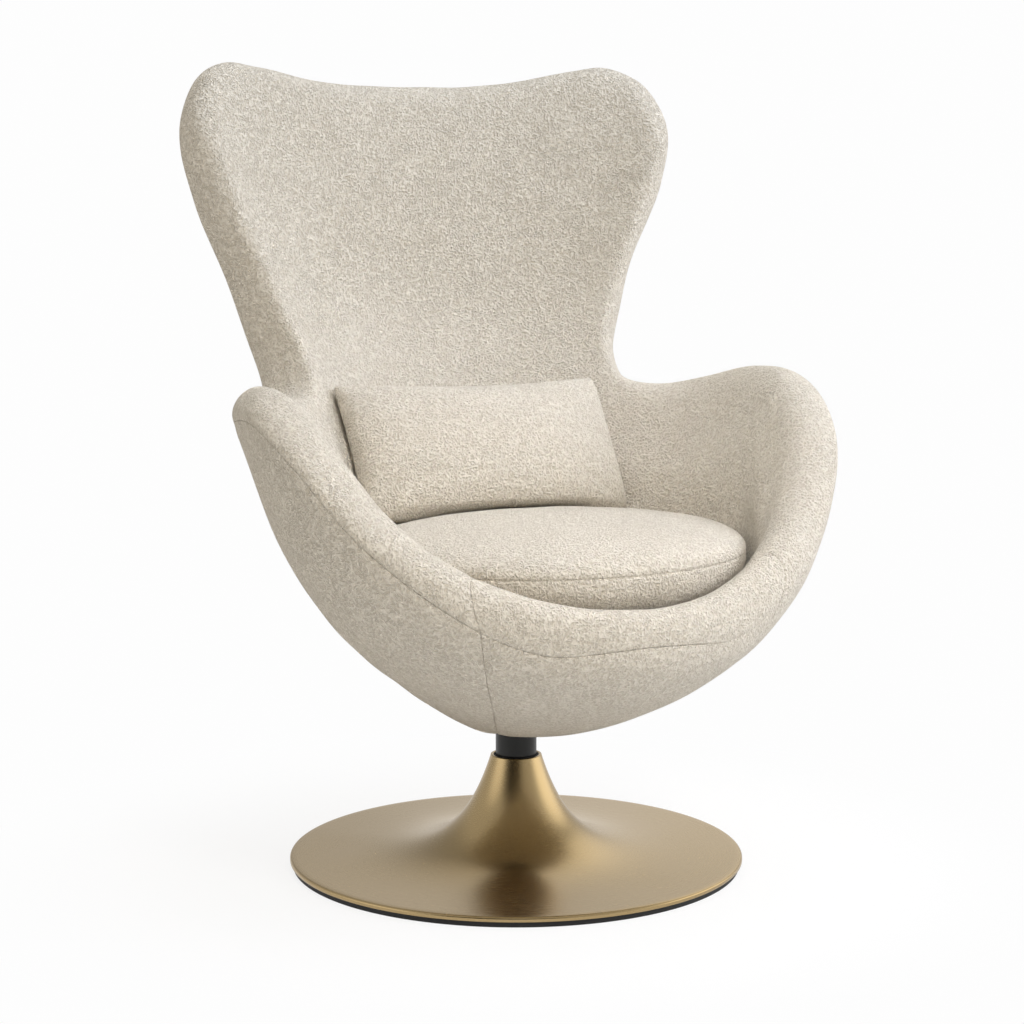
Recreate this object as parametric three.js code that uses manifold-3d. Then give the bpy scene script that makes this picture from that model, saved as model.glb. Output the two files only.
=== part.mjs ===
// A swivel pod chair: an upholstered egg-shaped shell with wings and arms, a loose round seat
// cushion and a loose lumbar pillow, turning on a black column in a brushed-brass trumpet base.
// Millimetres, +Z up, the sitter faces -Y, and the origin is on the floor under the swivel axis.
import * as THREE from 'three';
import { mergeVertices } from 'three/addons/utils/BufferGeometryUtils.js';
import Module from 'manifold-3d';

const wasm = await Module();
wasm.setup();

// Driving sizes
const OVERALL_HEIGHT = 1066;
const OVERALL_WIDTH = 811;
const POD_FRONT_REACH = 390;
const POD_BACK_REACH = 390;
const POD_BOTTOM = 187;
const BASE_DIAMETER = 610;
const BASE_HEIGHT = 148;
const COLUMN_DIAMETER = 55;

// Clearances
const TOUCH_GAP = 0.3;
const RUNNING_GAP = 0.1;
const BOLT_CLEARANCE = 0.4;
const CUT_OVERRUN = 5;

const podHeight = OVERALL_HEIGHT - POD_BOTTOM;
const MOUNT_HEIGHT_SHARE = 0.074;

// Numbers of facets
const COLUMNS_PER_SIDE = 22;
const LARGE_ROUND = 48;
const MEDIUM_ROUND = 28;
const SMALL_ROUND = 20;
const SCREW_ROUND = 8;

// Materials, as seen in the photograph
const finish = (color, roughness, metalness) =>
  new THREE.MeshStandardMaterial({ color, roughness, metalness });
const BOUCLE = () => finish(0xd9cfbe, 0.95, 0);
const LINING = () => finish(0x2b2a28, 0.95, 0);
const FOAM = () => finish(0xe8dcae, 1, 0);
const FIBREFILL = () => finish(0xf2f0ea, 1, 0);
const GLASSFIBRE = () => finish(0x8f8f7c, 0.7, 0);
const PLYWOOD = () => finish(0xb98f5a, 0.8, 0);
const BRASS = () => finish(0xa98a55, 0.32, 1);
const BLACK_STEEL = () => finish(0x1c1c1c, 0.5, 0.6);
const STEEL = () => finish(0x8b8d90, 0.4, 1);
const NYLON = () => finish(0xe4e2da, 0.6, 0);
const RUBBER = () => finish(0x141414, 0.9, 0);

const part = new THREE.Group();

function add(name, geometry, material) {
  const mesh = new THREE.Mesh(geometry, material);
  mesh.name = name;
  part.add(mesh);
  return mesh;
}

// A closed mesh with shared corners, and without the normals and uv that keep corners apart
function welded(geometry) {
  const bare = geometry.clone();
  bare.deleteAttribute('normal');
  bare.deleteAttribute('uv');
  return mergeVertices(bare);
}

function toManifold(geometry) {
  const bare = welded(geometry);
  const index = bare.index.array;
  const triangles = [];
  for (let i = 0; i < index.length; i += 3) {
    const [a, b, c] = [index[i], index[i + 1], index[i + 2]];
    if (a !== b && b !== c && c !== a) triangles.push(a, b, c);
  }
  const mesh = new wasm.Mesh({
    numProp: 3,
    vertProperties: new Float32Array(bare.attributes.position.array),
    triVerts: new Uint32Array(triangles),
  });
  return new wasm.Manifold(mesh);
}

function fromManifold(solid) {
  const mesh = solid.getMesh();
  const geometry = new THREE.BufferGeometry();
  geometry.setAttribute('position', new THREE.BufferAttribute(mesh.vertProperties, 3));
  geometry.setIndex(new THREE.BufferAttribute(mesh.triVerts, 1));
  return geometry;
}

const cut = (geometry, ...tools) =>
  fromManifold(tools.reduce((solid, tool) => solid.subtract(toManifold(tool)), toManifold(geometry)));

const joined = (geometry, ...others) =>
  fromManifold(others.reduce((solid, other) => solid.add(toManifold(other)), toManifold(geometry)));

// A turned piece from a closed profile of [radius, height] points, anticlockwise in that plane
function turned(profile, segments) {
  const points = profile.map(([radius, height]) => new THREE.Vector2(radius, height));
  points.push(points[0].clone());
  return new THREE.LatheGeometry(points, segments).rotateX(Math.PI / 2);
}

const ring = (inner, outer, low, high, segments) =>
  turned([[inner, low], [outer, low], [outer, high], [inner, high]], segments);

// The radius at the corners of a faceted bore whose flats clear a round shaft at every angle
const boreAround = (radius, gap, segments) => (radius + gap) / Math.cos(Math.PI / segments);

// A round bar or a round cutter along +Z
function bar(radius, low, high, segments, x = 0, y = 0) {
  return new THREE.CylinderGeometry(radius, radius, high - low, segments)
    .rotateX(Math.PI / 2)
    .translate(x, y, (low + high) / 2);
}

function onCircle(count, radius, make) {
  for (let i = 0; i < count; i += 1) {
    const angle = (Math.PI * 2 * (i + 0.5)) / count;
    make(i + 1, radius * Math.cos(angle), radius * Math.sin(angle));
  }
}

// A solid between two grids of points, grid[column][row]. A closed solid goes all the way round;
// with poles, the first rows of both grids are filled in by fans to one point each. The facets'
// diagonals are a mirror image on the +X side, and from the turn row on they run the other way,
// to match a neighbour whose rows run backwards.
function slab(outer, inner, { closed = true, poles = null, turnRow = Infinity } = {}) {
  const columnCount = outer.length;
  const rowCount = outer[0].length;
  const vertices = [];
  const index = [];
  const put = (point) => vertices.push(point.x, point.y, point.z) / 3 - 1;
  const a = outer.map((column) => column.map(put));
  const b = inner.map((column) => column.map(put));
  const quad = (p, q, r, s) => index.push(p, q, r, p, r, s);
  const facets = (other, p, q, r, s) => (other ? quad(q, r, s, p) : quad(p, q, r, s));
  const last = closed ? columnCount : columnCount - 1;
  for (let i = 0; i < last; i += 1) {
    const n = (i + 1) % columnCount;
    const mirrored = outer[i].at(-1).x + outer[n].at(-1).x > 0;
    for (let j = 0; j < rowCount - 1; j += 1) {
      const other = mirrored !== j >= turnRow;
      facets(other, a[i][j], a[n][j], a[n][j + 1], a[i][j + 1]);
      facets(other, b[i][j], b[i][j + 1], b[n][j + 1], b[n][j]);
    }
    facets(mirrored, a[i].at(-1), a[n].at(-1), b[n].at(-1), b[i].at(-1));
    if (!poles) facets(mirrored, a[n][0], a[i][0], b[i][0], b[n][0]);
  }
  if (poles) {
    const [low, high] = poles.map(put);
    for (let i = 0; i < columnCount; i += 1) {
      const n = (i + 1) % columnCount;
      index.push(low, a[n][0], a[i][0]);
      index.push(high, b[i][0], b[n][0]);
    }
  }
  if (!closed) {
    for (let j = 0; j < rowCount - 1; j += 1) {
      quad(a[0][j], a[0][j + 1], b[0][j + 1], b[0][j]);
      quad(a[last][j], b[last][j], b[last][j + 1], a[last][j + 1]);
    }
  }
  const geometry = new THREE.BufferGeometry();
  geometry.setAttribute('position', new THREE.Float32BufferAttribute(vertices, 3));
  geometry.setIndex(index);
  return geometry;
}

// The floor ring: a rubber edge with a flat foot and a lip under the ballast plate
const RING_HEIGHT = 7;
const RING_INSET = 4;
const RING_WALL = 4;
const RING_LIP_WIDTH = 26;
const RING_LIP_THICKNESS = 3;
const baseRadius = BASE_DIAMETER / 2;
const ringRadius = baseRadius - RING_INSET;
const ringInner = ringRadius - RING_WALL;

function floorRing() {
  const foot = ringInner - RING_LIP_WIDTH;
  return turned([
    [foot, 0],
    [ringRadius, 0],
    [ringRadius, RING_HEIGHT],
    [ringInner, RING_HEIGHT],
    [ringInner, RING_LIP_THICKNESS],
    [foot, RING_LIP_THICKNESS],
  ], LARGE_ROUND);
}

// The ballast plate: a flat cast disc that the column's flange is bolted to
const PLATE_THICKNESS = 8.5;
const FLANGE_BOLTS = 4;
const FLANGE_BOLT_CIRCLE = 52;
const BOLT_RADIUS = 4;
const plateBottom = RING_LIP_THICKNESS + TOUCH_GAP;
const plateTop = plateBottom + PLATE_THICKNESS;

function discWithHoles(radius, low, high, count, circle, hole) {
  const holes = [];
  onCircle(count, circle, (_, x, y) => {
    holes.push(bar(hole, low - CUT_OVERRUN, high + CUT_OVERRUN, SCREW_ROUND, x, y));
  });
  return cut(bar(radius, low, high, LARGE_ROUND), ...holes);
}

// The trumpet: one spun sheet from the rolled floor edge up to the mouth round the column
const SHEET = 2;
const NECK_RADIUS = 34;
const MOUTH_LIP = 1.5;
const FLARE_LENGTH = 42;
const EDGE_ROLL = 3;
const TRUMPET_STATION_SHARES = [0, 0.02, 0.05, 0.09, 0.15, 0.24, 0.38, 0.62, 1];
const edgeTop = plateTop + TOUCH_GAP + SHEET;
const edgeBottom = RING_HEIGHT + TOUCH_GAP;
const TUBE_OUTER_RADIUS = 30;

function trumpet() {
  const flatEdge = baseRadius - EDGE_ROLL;
  const rise = BASE_HEIGHT - edgeTop;
  const stations = TRUMPET_STATION_SHARES.map((share) => NECK_RADIUS + share * (flatEdge - NECK_RADIUS));
  const heightAt = (radius) => edgeTop + rise * Math.exp((NECK_RADIUS - radius) / FLARE_LENGTH);
  const slopeAt = (radius) => (edgeTop - heightAt(radius)) / FLARE_LENGTH;
  const top = stations.map((radius) => [radius, heightAt(radius)]);
  const under = stations.map((radius) => {
    const slope = slopeAt(radius);
    const length = Math.hypot(1, slope);
    return [radius + (SHEET * slope) / length, heightAt(radius) - SHEET / length];
  });
  const mouth = TUBE_OUTER_RADIUS + TOUCH_GAP;
  const rolled = [
    [baseRadius - SHEET, edgeBottom],
    [baseRadius - SHEET / 2, edgeBottom],
    [baseRadius, edgeBottom + SHEET / 2],
    [baseRadius, edgeTop - EDGE_ROLL],
    [baseRadius - EDGE_ROLL / 3, edgeTop - EDGE_ROLL / 3],
  ];
  const insideCorner = ringRadius + TOUCH_GAP;
  return turned([
    [insideCorner, edgeBottom],
    ...rolled.slice(1),
    ...top.reverse(),
    [mouth, BASE_HEIGHT],
    [mouth, BASE_HEIGHT - MOUTH_LIP],
    ...under.slice(1, -1),
    [insideCorner, edgeTop - SHEET],
  ], LARGE_ROUND);
}

// The fixed column tube: a flanged steel tube with a stepped bore for the bushes and the bearing
const FLANGE_RADIUS = 72;
const FLANGE_THICKNESS = 8;
const UPPER_BORE = 25;
const LOWER_BORE = 21;
const CLIP_BORE = 17.5;
const CLIP_ROOM = 8;
const TUBE_RECESS = 1.5;
const BUSH_LENGTH = 28;
const RACE_THICKNESS = 3.5;
const CAGE_HEIGHT = 6;
const BOSS_LENGTH = 6;
const SEAL_THICKNESS = 1.6;
const SPINDLE_RADIUS = 12.5;
const tubeBottom = plateTop + TOUCH_GAP;
const tubeTop = BASE_HEIGHT - TUBE_RECESS;
const lowerStep = tubeBottom + CLIP_ROOM;
const flangeTop = tubeBottom + FLANGE_THICKNESS;
const sealTop = tubeTop + TOUCH_GAP + SEAL_THICKNESS;
const columnBottom = sealTop + TOUCH_GAP;
const bossBottom = tubeTop - BOSS_LENGTH;
const upperRaceBottom = bossBottom - TOUCH_GAP - RACE_THICKNESS;
const cageBottom = upperRaceBottom - RUNNING_GAP - CAGE_HEIGHT;
const lowerRaceBottom = cageBottom - RUNNING_GAP - RACE_THICKNESS;
const upperBushTop = lowerRaceBottom - TOUCH_GAP;
const upperStep = upperBushTop - BUSH_LENGTH - TOUCH_GAP;

function columnTube() {
  const body = turned([
    [CLIP_BORE, tubeBottom],
    [FLANGE_RADIUS, tubeBottom],
    [FLANGE_RADIUS, flangeTop],
    [TUBE_OUTER_RADIUS, flangeTop],
    [TUBE_OUTER_RADIUS, tubeTop],
    [UPPER_BORE, tubeTop],
    [UPPER_BORE, upperStep],
    [LOWER_BORE, upperStep],
    [LOWER_BORE, lowerStep],
    [CLIP_BORE, lowerStep],
  ], MEDIUM_ROUND);
  const holes = [];
  onCircle(FLANGE_BOLTS, FLANGE_BOLT_CIRCLE, (_, x, y) => {
    const radius = BOLT_RADIUS + BOLT_CLEARANCE;
    holes.push(bar(radius, tubeBottom - CUT_OVERRUN, flangeTop + CUT_OVERRUN, SCREW_ROUND, x, y));
  });
  return cut(body, ...holes);
}

// A hexagon-headed bolt standing on its end at `tip`, with its head above or below the shank
const HEAD_RADIUS = 7.5;
const HEAD_HEIGHT = 4;

function bolt(x, y, tip, shoulder) {
  const up = Math.sign(shoulder - tip);
  const headEnd = shoulder + up * HEAD_HEIGHT;
  const shankEnd = shoulder + (up * HEAD_HEIGHT) / 2;
  const shank = bar(BOLT_RADIUS, Math.min(tip, shankEnd), Math.max(tip, shankEnd), SCREW_ROUND, x, y);
  const head = bar(HEAD_RADIUS, Math.min(shoulder, headEnd), Math.max(shoulder, headEnd), 6, x, y);
  return joined(shank, head);
}

// The bearing: races, and a nylon cage with its balls pressed in
const BALLS = 8;
const BALL_SEGMENTS = 6;
const BALL_RINGS = 4;
const shaftBore = boreAround(SPINDLE_RADIUS, RUNNING_GAP, SMALL_ROUND);
const raceOuter = UPPER_BORE - TOUCH_GAP;

function ballCage() {
  const ballRadius = CAGE_HEIGHT / 2;
  const middle = cageBottom + ballRadius;
  const pitch = (shaftBore + raceOuter) / 2;
  const cage = ring(
    pitch - ballRadius - SHEET,
    pitch + ballRadius + SHEET / 2,
    middle - ballRadius / 2,
    middle + ballRadius / 2,
    SMALL_ROUND,
  );
  const balls = [];
  onCircle(BALLS, pitch, (_, x, y) => {
    const ball = new THREE.SphereGeometry(ballRadius, BALL_SEGMENTS, BALL_RINGS).rotateX(Math.PI / 2);
    balls.push(ball.translate(x, y, middle));
  });
  return joined(cage, ...balls);
}

// The spindle: a headed shaft down through the seat plate, the column and both bushes
const SEAT_PLATE_THICKNESS = 6;
const SEAT_PLATE_RADIUS = 58;
const SPINDLE_HEAD_RADIUS = 20;
const SPINDLE_HEAD_HEIGHT = 3;
const GROOVE_DEPTH = 1.5;
const CLIP_THICKNESS = 1.6;
const CLIP_RADIUS = 15.5;
const CLIP_GAP_ANGLE = 0.7;
const WASHER_THICKNESS = 1.6;
const SPINDLE_FOOT = 1.6;
const COVER_THICKNESS = 10;
const mountHeight = POD_BOTTOM + MOUNT_HEIGHT_SHARE * podHeight;
const seatPlateTop = mountHeight - TOUCH_GAP;
const seatPlateBottom = seatPlateTop - SEAT_PLATE_THICKNESS;
const columnTop = seatPlateBottom - TOUCH_GAP;
const washerTop = lowerStep - TOUCH_GAP;
const clipTop = washerTop - WASHER_THICKNESS - RUNNING_GAP;
const clipBottom = clipTop - CLIP_THICKNESS;

function spindle() {
  const groove = SPINDLE_RADIUS - GROOVE_DEPTH;
  const head = seatPlateTop - SPINDLE_HEAD_HEIGHT;
  const bottom = clipBottom - RUNNING_GAP - SPINDLE_FOOT;
  return turned([
    [0, bottom],
    [SPINDLE_RADIUS, bottom],
    [SPINDLE_RADIUS, clipBottom - RUNNING_GAP],
    [groove, clipBottom - RUNNING_GAP],
    [groove, clipTop + RUNNING_GAP],
    [SPINDLE_RADIUS, clipTop + RUNNING_GAP],
    [SPINDLE_RADIUS, head],
    [SPINDLE_HEAD_RADIUS, head],
    [SPINDLE_HEAD_RADIUS, seatPlateTop],
    [0, seatPlateTop],
  ], SMALL_ROUND);
}

function retainingClip() {
  const inner = SPINDLE_RADIUS - GROOVE_DEPTH + TOUCH_GAP;
  const start = CLIP_GAP_ANGLE / 2;
  const end = Math.PI * 2 - start;
  const shape = new THREE.Shape();
  shape.absarc(0, 0, CLIP_RADIUS, start, end, false);
  shape.absarc(0, 0, inner, end, start, true);
  shape.closePath();
  const solid = new THREE.ExtrudeGeometry(shape, {
    depth: CLIP_THICKNESS,
    bevelEnabled: false,
    curveSegments: SCREW_ROUND,
  });
  return solid.translate(0, 0, clipBottom);
}

// The swivel column: a black sleeve between the bearing and the seat plate
function swivelColumn() {
  const bore = boreAround(SPINDLE_RADIUS, RUNNING_GAP, MEDIUM_ROUND);
  return turned([
    [bore, bossBottom],
    [UPPER_BORE - TOUCH_GAP, bossBottom],
    [UPPER_BORE - TOUCH_GAP, columnBottom],
    [COLUMN_DIAMETER / 2, columnBottom],
    [COLUMN_DIAMETER / 2, columnTop],
    [bore, columnTop],
  ], MEDIUM_ROUND);
}

// The seat plate, its bolts, and the board with T-nuts that they pull against
const SEAT_BOLTS = 4;
const SEAT_BOLT_CIRCLE = 42;
const SHELL_THICKNESS = 7;
const BOARD_THICKNESS = 18;
const TNUT_FLANGE_RADIUS = 11;
const TNUT_FLANGE_THICKNESS = 1.6;
const TNUT_BARREL_RADIUS = 5.8;
const boardBottom = mountHeight;
const boardTop = boardBottom + BOARD_THICKNESS;
const tnutTop = boardTop + TOUCH_GAP + TNUT_FLANGE_THICKNESS;
const foamFloor = tnutTop + TOUCH_GAP;
const foamBack = COVER_THICKNESS + SHELL_THICKNESS + 2 * TOUCH_GAP;

function seatPlate() {
  const holes = [
    bar(shaftBore, seatPlateBottom - CUT_OVERRUN, seatPlateTop + CUT_OVERRUN, SMALL_ROUND),
    bar(
      SPINDLE_HEAD_RADIUS + TOUCH_GAP,
      seatPlateTop - SPINDLE_HEAD_HEIGHT - TOUCH_GAP,
      seatPlateTop + CUT_OVERRUN,
      SMALL_ROUND,
    ),
  ];
  onCircle(SEAT_BOLTS, SEAT_BOLT_CIRCLE, (_, x, y) => {
    const radius = BOLT_RADIUS + BOLT_CLEARANCE;
    holes.push(bar(radius, seatPlateBottom - CUT_OVERRUN, seatPlateTop + CUT_OVERRUN, SCREW_ROUND, x, y));
  });
  return cut(bar(SEAT_PLATE_RADIUS, seatPlateBottom, seatPlateTop, MEDIUM_ROUND), ...holes);
}

function tNut(x, y) {
  const bore = BOLT_RADIUS + BOLT_CLEARANCE;
  return turned([
    [bore, boardBottom + BOARD_THICKNESS / 2],
    [TNUT_BARREL_RADIUS, boardBottom + BOARD_THICKNESS / 2],
    [TNUT_BARREL_RADIUS, boardTop + TOUCH_GAP],
    [TNUT_FLANGE_RADIUS, boardTop + TOUCH_GAP],
    [TNUT_FLANGE_RADIUS, tnutTop],
    [bore, tnutTop],
  ], SCREW_ROUND).translate(x, y, 0);
}

// The pod's outer surface. Each row is a level: height, half width, back reach, front reach and
// the forward shift of the widest point, as shares of the pod's height, half width and reaches.
// The first row is the hole that the column comes up through.
const LEVEL_SHARES = [
  [0.000, 0.074, 0.077, 0.077, 0.00],
  [0.003, 0.150, 0.130, 0.210, 0.04],
  [0.022, 0.240, 0.185, 0.395, 0.12],
  [0.053, 0.355, 0.260, 0.595, 0.18],
  [0.100, 0.502, 0.345, 0.795, 0.25],
  [0.163, 0.668, 0.431, 0.945, 0.31],
  [0.242, 0.809, 0.554, 1.003, 0.35],
  [0.334, 0.907, 0.662, 1.026, 0.33],
  [0.447, 0.976, 0.812, 1.038, 0.29],
  [0.584, 1.031, 0.945, 1.050, 0.10],
  [0.743, 1.044, 0.968, 1.066, -0.25],
  [0.891, 1.013, 0.980, 1.074, -0.50],
  [1.030, 1.010, 1.005, 1.074, -0.62],
];

// The rim's crest from the front middle to the back middle. Each row: where its column starts
// and where it ends, as shares of the half turn from front to back, and the crest's height.
const RIM_SHARES = [
  [0.000, 0.000, 0.229],
  [0.080, 0.080, 0.235],
  [0.160, 0.160, 0.254],
  [0.250, 0.250, 0.299],
  [0.345, 0.345, 0.380],
  [0.424, 0.424, 0.475],
  [0.490, 0.490, 0.524],
  [0.550, 0.555, 0.524],
  [0.618, 0.632, 0.500],
  [0.680, 0.700, 0.478],
  [0.732, 0.745, 0.486],
  [0.775, 0.758, 0.533],
  [0.800, 0.746, 0.599],
  [0.822, 0.716, 0.703],
  [0.842, 0.652, 0.817],
  [0.862, 0.612, 0.902],
  [0.884, 0.654, 0.968],
  [0.910, 0.722, 1.000],
  [0.940, 0.785, 0.997],
  [0.970, 0.890, 0.977],
  [1.000, 1.000, 0.972],
];
const SWING_START_SHARE = 0.65;
const SWING_POWER = 3;

// The upholstery's thickness at the front rail, the arms and the wings and behind the loins, and
// its roll over the rim, as shares of the pod's height
const RAIL_THICKNESS_SHARE = 0.08;
const ARM_THICKNESS_SHARE = 0.0865;
const WING_THICKNESS_SHARE = 0.0775;
const LUMBAR_FILL_SHARE = 0.03;
const SEAT_THINNING_SHARE = 0.023;
const ARM_FULLNESS_SHARE = 0.034;
const RAIL_ROLL_SHARE = 0.075;
const ARM_ROLL_SHARE = 0.041;
const WING_ROLL_SHARE = 0.042;
const LINER_THICKNESS = 3;
const DECK_DROP_SHARE = 0.05;
const RAIL_TO_ARM_SHARES = [0.1, 0.4];
const ARM_TO_WING_SHARES = [0.6, 0.8];
const LUMBAR_HEIGHT_SHARES = [0.36, 0.77];
const SEAT_HEIGHT_SHARES = [0.175, 0.34];
const FULLNESS_HEIGHT_SHARES = [0.2, 0.32];
const FULLNESS_BELOW_CREST_SHARES = [0.17, 0.04];
const RAIL_SEAM_SHARE = 0.125;
const EDGE_STEP_SHARE = 0.008;
const FLAT_FOOT_SHARE = 0.058;
const DECK_EDGE_GAP = 0.8;
const RIM_ANGLE_SHARES = [0, 1 / 4, 1 / 2, 5 / 8, 3 / 4, 7 / 8, 1];
const WALL_ROWS = 7;
const FOOT_ROWS = 3;
const BOWL_ROWS = 3;
const SOLVE_STEPS = 30;

const deckHeight = POD_BOTTOM + (RIM_SHARES[0][2] - DECK_DROP_SHARE) * podHeight;
const TINY_STEP_SHARE = 1e-4;

// A smooth curve through the rows of a table, read at a fractional row number
function readTable(table, position, column) {
  const last = table.length - 1;
  const at = Math.min(Math.max(position, 0), last);
  const k = Math.min(Math.floor(at), last - 1);
  const t = at - k;
  const value = (row) => table[Math.min(Math.max(row, 0), last)][column];
  const [p0, p1, p2, p3] = [value(k - 1), value(k), value(k + 1), value(k + 2)];
  const m1 = (p2 - p0) / 2;
  const m2 = (p3 - p1) / 2;
  return p1 + m1 * t + (3 * (p2 - p1) - 2 * m1 - m2) * t ** 2 + (2 * (p1 - p2) + m1 + m2) * t ** 3;
}

// The outer surface at a turn (0 front, 1 back) of one side, and a level
function podPoint(turn, side, level) {
  const angle = (turn - 0.5) * Math.PI;
  const [height, width, back, front, shift] = [0, 1, 2, 3, 4].map((c) => readTable(LEVEL_SHARES, level, c));
  const centre = -shift * POD_BACK_REACH;
  const sine = Math.sin(angle);
  const reach = sine > 0 ? back * POD_BACK_REACH - centre : front * POD_FRONT_REACH + centre;
  return new THREE.Vector3(
    (side * width * OVERALL_WIDTH * Math.cos(angle)) / 2,
    centre + reach * sine,
    POD_BOTTOM + height * podHeight,
  );
}

const lastLevel = LEVEL_SHARES.length - 1;
const seamHalfGap = TOUCH_GAP / 2;
const smoothStep = THREE.MathUtils.smoothstep;
const UP = new THREE.Vector3(0, 0, 1);

// The place where a rising function passes a target between two ends
function solve(low, high, target, value) {
  let [a, b] = [low, high];
  for (let i = 0; i < SOLVE_STEPS; i += 1) {
    const middle = (a + b) / 2;
    if (value(middle) < target) a = middle;
    else b = middle;
  }
  return (a + b) / 2;
}

// The inward normal of the outer surface; the foot is flat, so there it points straight up
function inwardNormal(turn, side, level) {
  const step = TINY_STEP_SHARE;
  const across = podPoint(turn + step, side, level).sub(podPoint(turn - step, side, level));
  const along = podPoint(turn, side, level + step).sub(podPoint(turn, side, Math.max(level - step, 0)));
  const normal = across.cross(along).multiplyScalar(-side).normalize();
  const turnedUp = 1 - smoothStep(level, 0, FLAT_FOOT_SHARE * lastLevel);
  return normal.lerp(UP, turnedUp).normalize();
}

// One column of the pod: the path from the foot to the rim's crest, with its rim section
function podColumn(share, side) {
  const row = share * (RIM_SHARES.length - 1);
  const [start, end, crestHeight] = [0, 1, 2].map((c) => readTable(RIM_SHARES, row, c));
  const swingStart = SWING_START_SHARE * lastLevel;
  const crestLevel = solve(0, lastLevel, crestHeight, (level) => readTable(LEVEL_SHARES, level, 0));
  const turnAt = (level) => {
    const swing = Math.max(level - swingStart, 0) / Math.max(crestLevel - swingStart, TINY_STEP_SHARE);
    return start + (end - start) * Math.min(swing, 1) ** SWING_POWER;
  };
  const front = 1 - smoothStep(start, ...RAIL_TO_ARM_SHARES);
  const back = smoothStep(start, ...ARM_TO_WING_SHARES);
  const blend = (rail, arm, wing) => arm + front * (rail - arm) + back * (wing - arm);
  const rimShare = blend(RAIL_THICKNESS_SHARE, ARM_THICKNESS_SHARE, WING_THICKNESS_SHARE);
  const rollRise = blend(RAIL_ROLL_SHARE, ARM_ROLL_SHARE, WING_ROLL_SHARE) * podHeight;
  const thicknessAt = (level) => {
    const height = readTable(LEVEL_SHARES, level, 0);
    const low = 1 - smoothStep(height, ...LUMBAR_HEIGHT_SHARES);
    const seat = (1 - front) * (1 - smoothStep(height, ...SEAT_HEIGHT_SHARES));
    const [fullEnd, rollEnd] = FULLNESS_BELOW_CREST_SHARES.map((share) => crestHeight - share);
    const risen = smoothStep(height, ...FULLNESS_HEIGHT_SHARES);
    const arm = (1 - front) * (1 - back) * risen * (1 - smoothStep(height, fullEnd, rollEnd));
    const change = back * low * LUMBAR_FILL_SHARE - seat * SEAT_THINNING_SHARE + arm * ARM_FULLNESS_SHARE;
    return (rimShare + change) * podHeight;
  };
  const crest = podPoint(end, side, crestLevel);
  const toCrest = (level) => podPoint(turnAt(level), side, level).distanceTo(crest);
  const rollLevel = solve(0, crestLevel, -rollRise, (level) => -toCrest(level));
  const surface = (level, depth) => {
    const turn = turnAt(level);
    return podPoint(turn, side, level).addScaledVector(inwardNormal(turn, side, level), depth);
  };
  const rollStart = surface(rollLevel, 0);
  const inward = inwardNormal(turnAt(rollLevel), side, rollLevel);
  const onward = crest.clone().sub(rollStart).projectOnPlane(inward).normalize();
  const rollThickness = thicknessAt(rollLevel);
  const deckEdge = deckHeight - LINER_THICKNESS;
  const deckLevel = solve(0, rollLevel, deckEdge, (level) => surface(level, thicknessAt(level)).z);
  const levelUnderFoam = (height) => solve(0, deckLevel, height, (level) => surface(level, foamBack).z);
  const boardLevel = levelUnderFoam(boardBottom);
  const floorLevel = levelUnderFoam(foamFloor);
  const foot = [...spread(FOOT_ROWS, 0, boardLevel), floorLevel];
  const bowl = spread(BOWL_ROWS, floorLevel, deckLevel);
  const above = spread(WALL_ROWS, deckLevel, rollLevel);
  return {
    boardLevel,
    deckLevel,
    rollLevel,
    bowl,
    above,
    // Every layer shares these levels, so that neighbours lie facet to facet
    coverLevels: [...foot, ...bowl.slice(1), ...above.slice(1, -1), rollLevel - EDGE_STEP_SHARE],
    surface,
    thicknessAt,
    // The rim's half-ellipse: angle 0 on the outer shoulder, PI on the inner one
    rim: (angle, inset) => rollStart.clone()
      .addScaledVector(inward, rollThickness / 2 - (rollThickness / 2 - inset) * Math.cos(angle))
      .addScaledVector(onward, (rollRise - inset) * Math.sin(angle)),
    // A point of the inner face, `cover` mm behind what the sitter touches
    inside: (level, cover) => surface(level, thicknessAt(level) - cover),
  };
}

const spread = (count, low, high) =>
  Array.from({ length: count }, (_, i) => low + ((high - low) * i) / (count - 1));

// All columns of the pod, round from the front middle over +X to the back and over -X to the front
function allColumns() {
  const right = spread(COLUMNS_PER_SIDE + 1, 0, 1).map((share) => podColumn(share, 1));
  const left = spread(COLUMNS_PER_SIDE + 1, 1, 0).slice(1, -1).map((share) => podColumn(share, -1));
  return [...right, ...left];
}

const columns = allColumns();

const layer = (layerColumns, depth) =>
  layerColumns.map((column) => column.coverLevels.map((level) => column.surface(level, depth)));

// The outer covers: foam-backed boucle from the foot to the rim's outer shoulder. A panel runs
// from one seam column to another, and is trimmed at both so that the panels don't touch.
function outerCover(from, to) {
  const count = columns.length;
  const picked = spread(to - from + 1, from, to).map((i) => columns[(i + count) % count]);
  const face = (depth) => {
    const grid = layer(picked, depth);
    const trimmed = (edge, next) => edge.map((point, j) =>
      point.clone().lerp(next[j], seamHalfGap / point.distanceTo(next[j])));
    return [trimmed(grid[0], grid[1]), ...grid.slice(1, -1), trimmed(grid.at(-1), grid.at(-2))];
  };
  return slab(face(0), face(COVER_THICKNESS), { closed: false });
}

// The shell: one moulded glass-fibre bowl under the covers, with a hole for the column
function shellCore() {
  const depth = COVER_THICKNESS + TOUCH_GAP;
  return slab(layer(columns, depth), layer(columns, depth + SHELL_THICKNESS));
}

const foamFront = LINER_THICKNESS + TOUCH_GAP;

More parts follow.
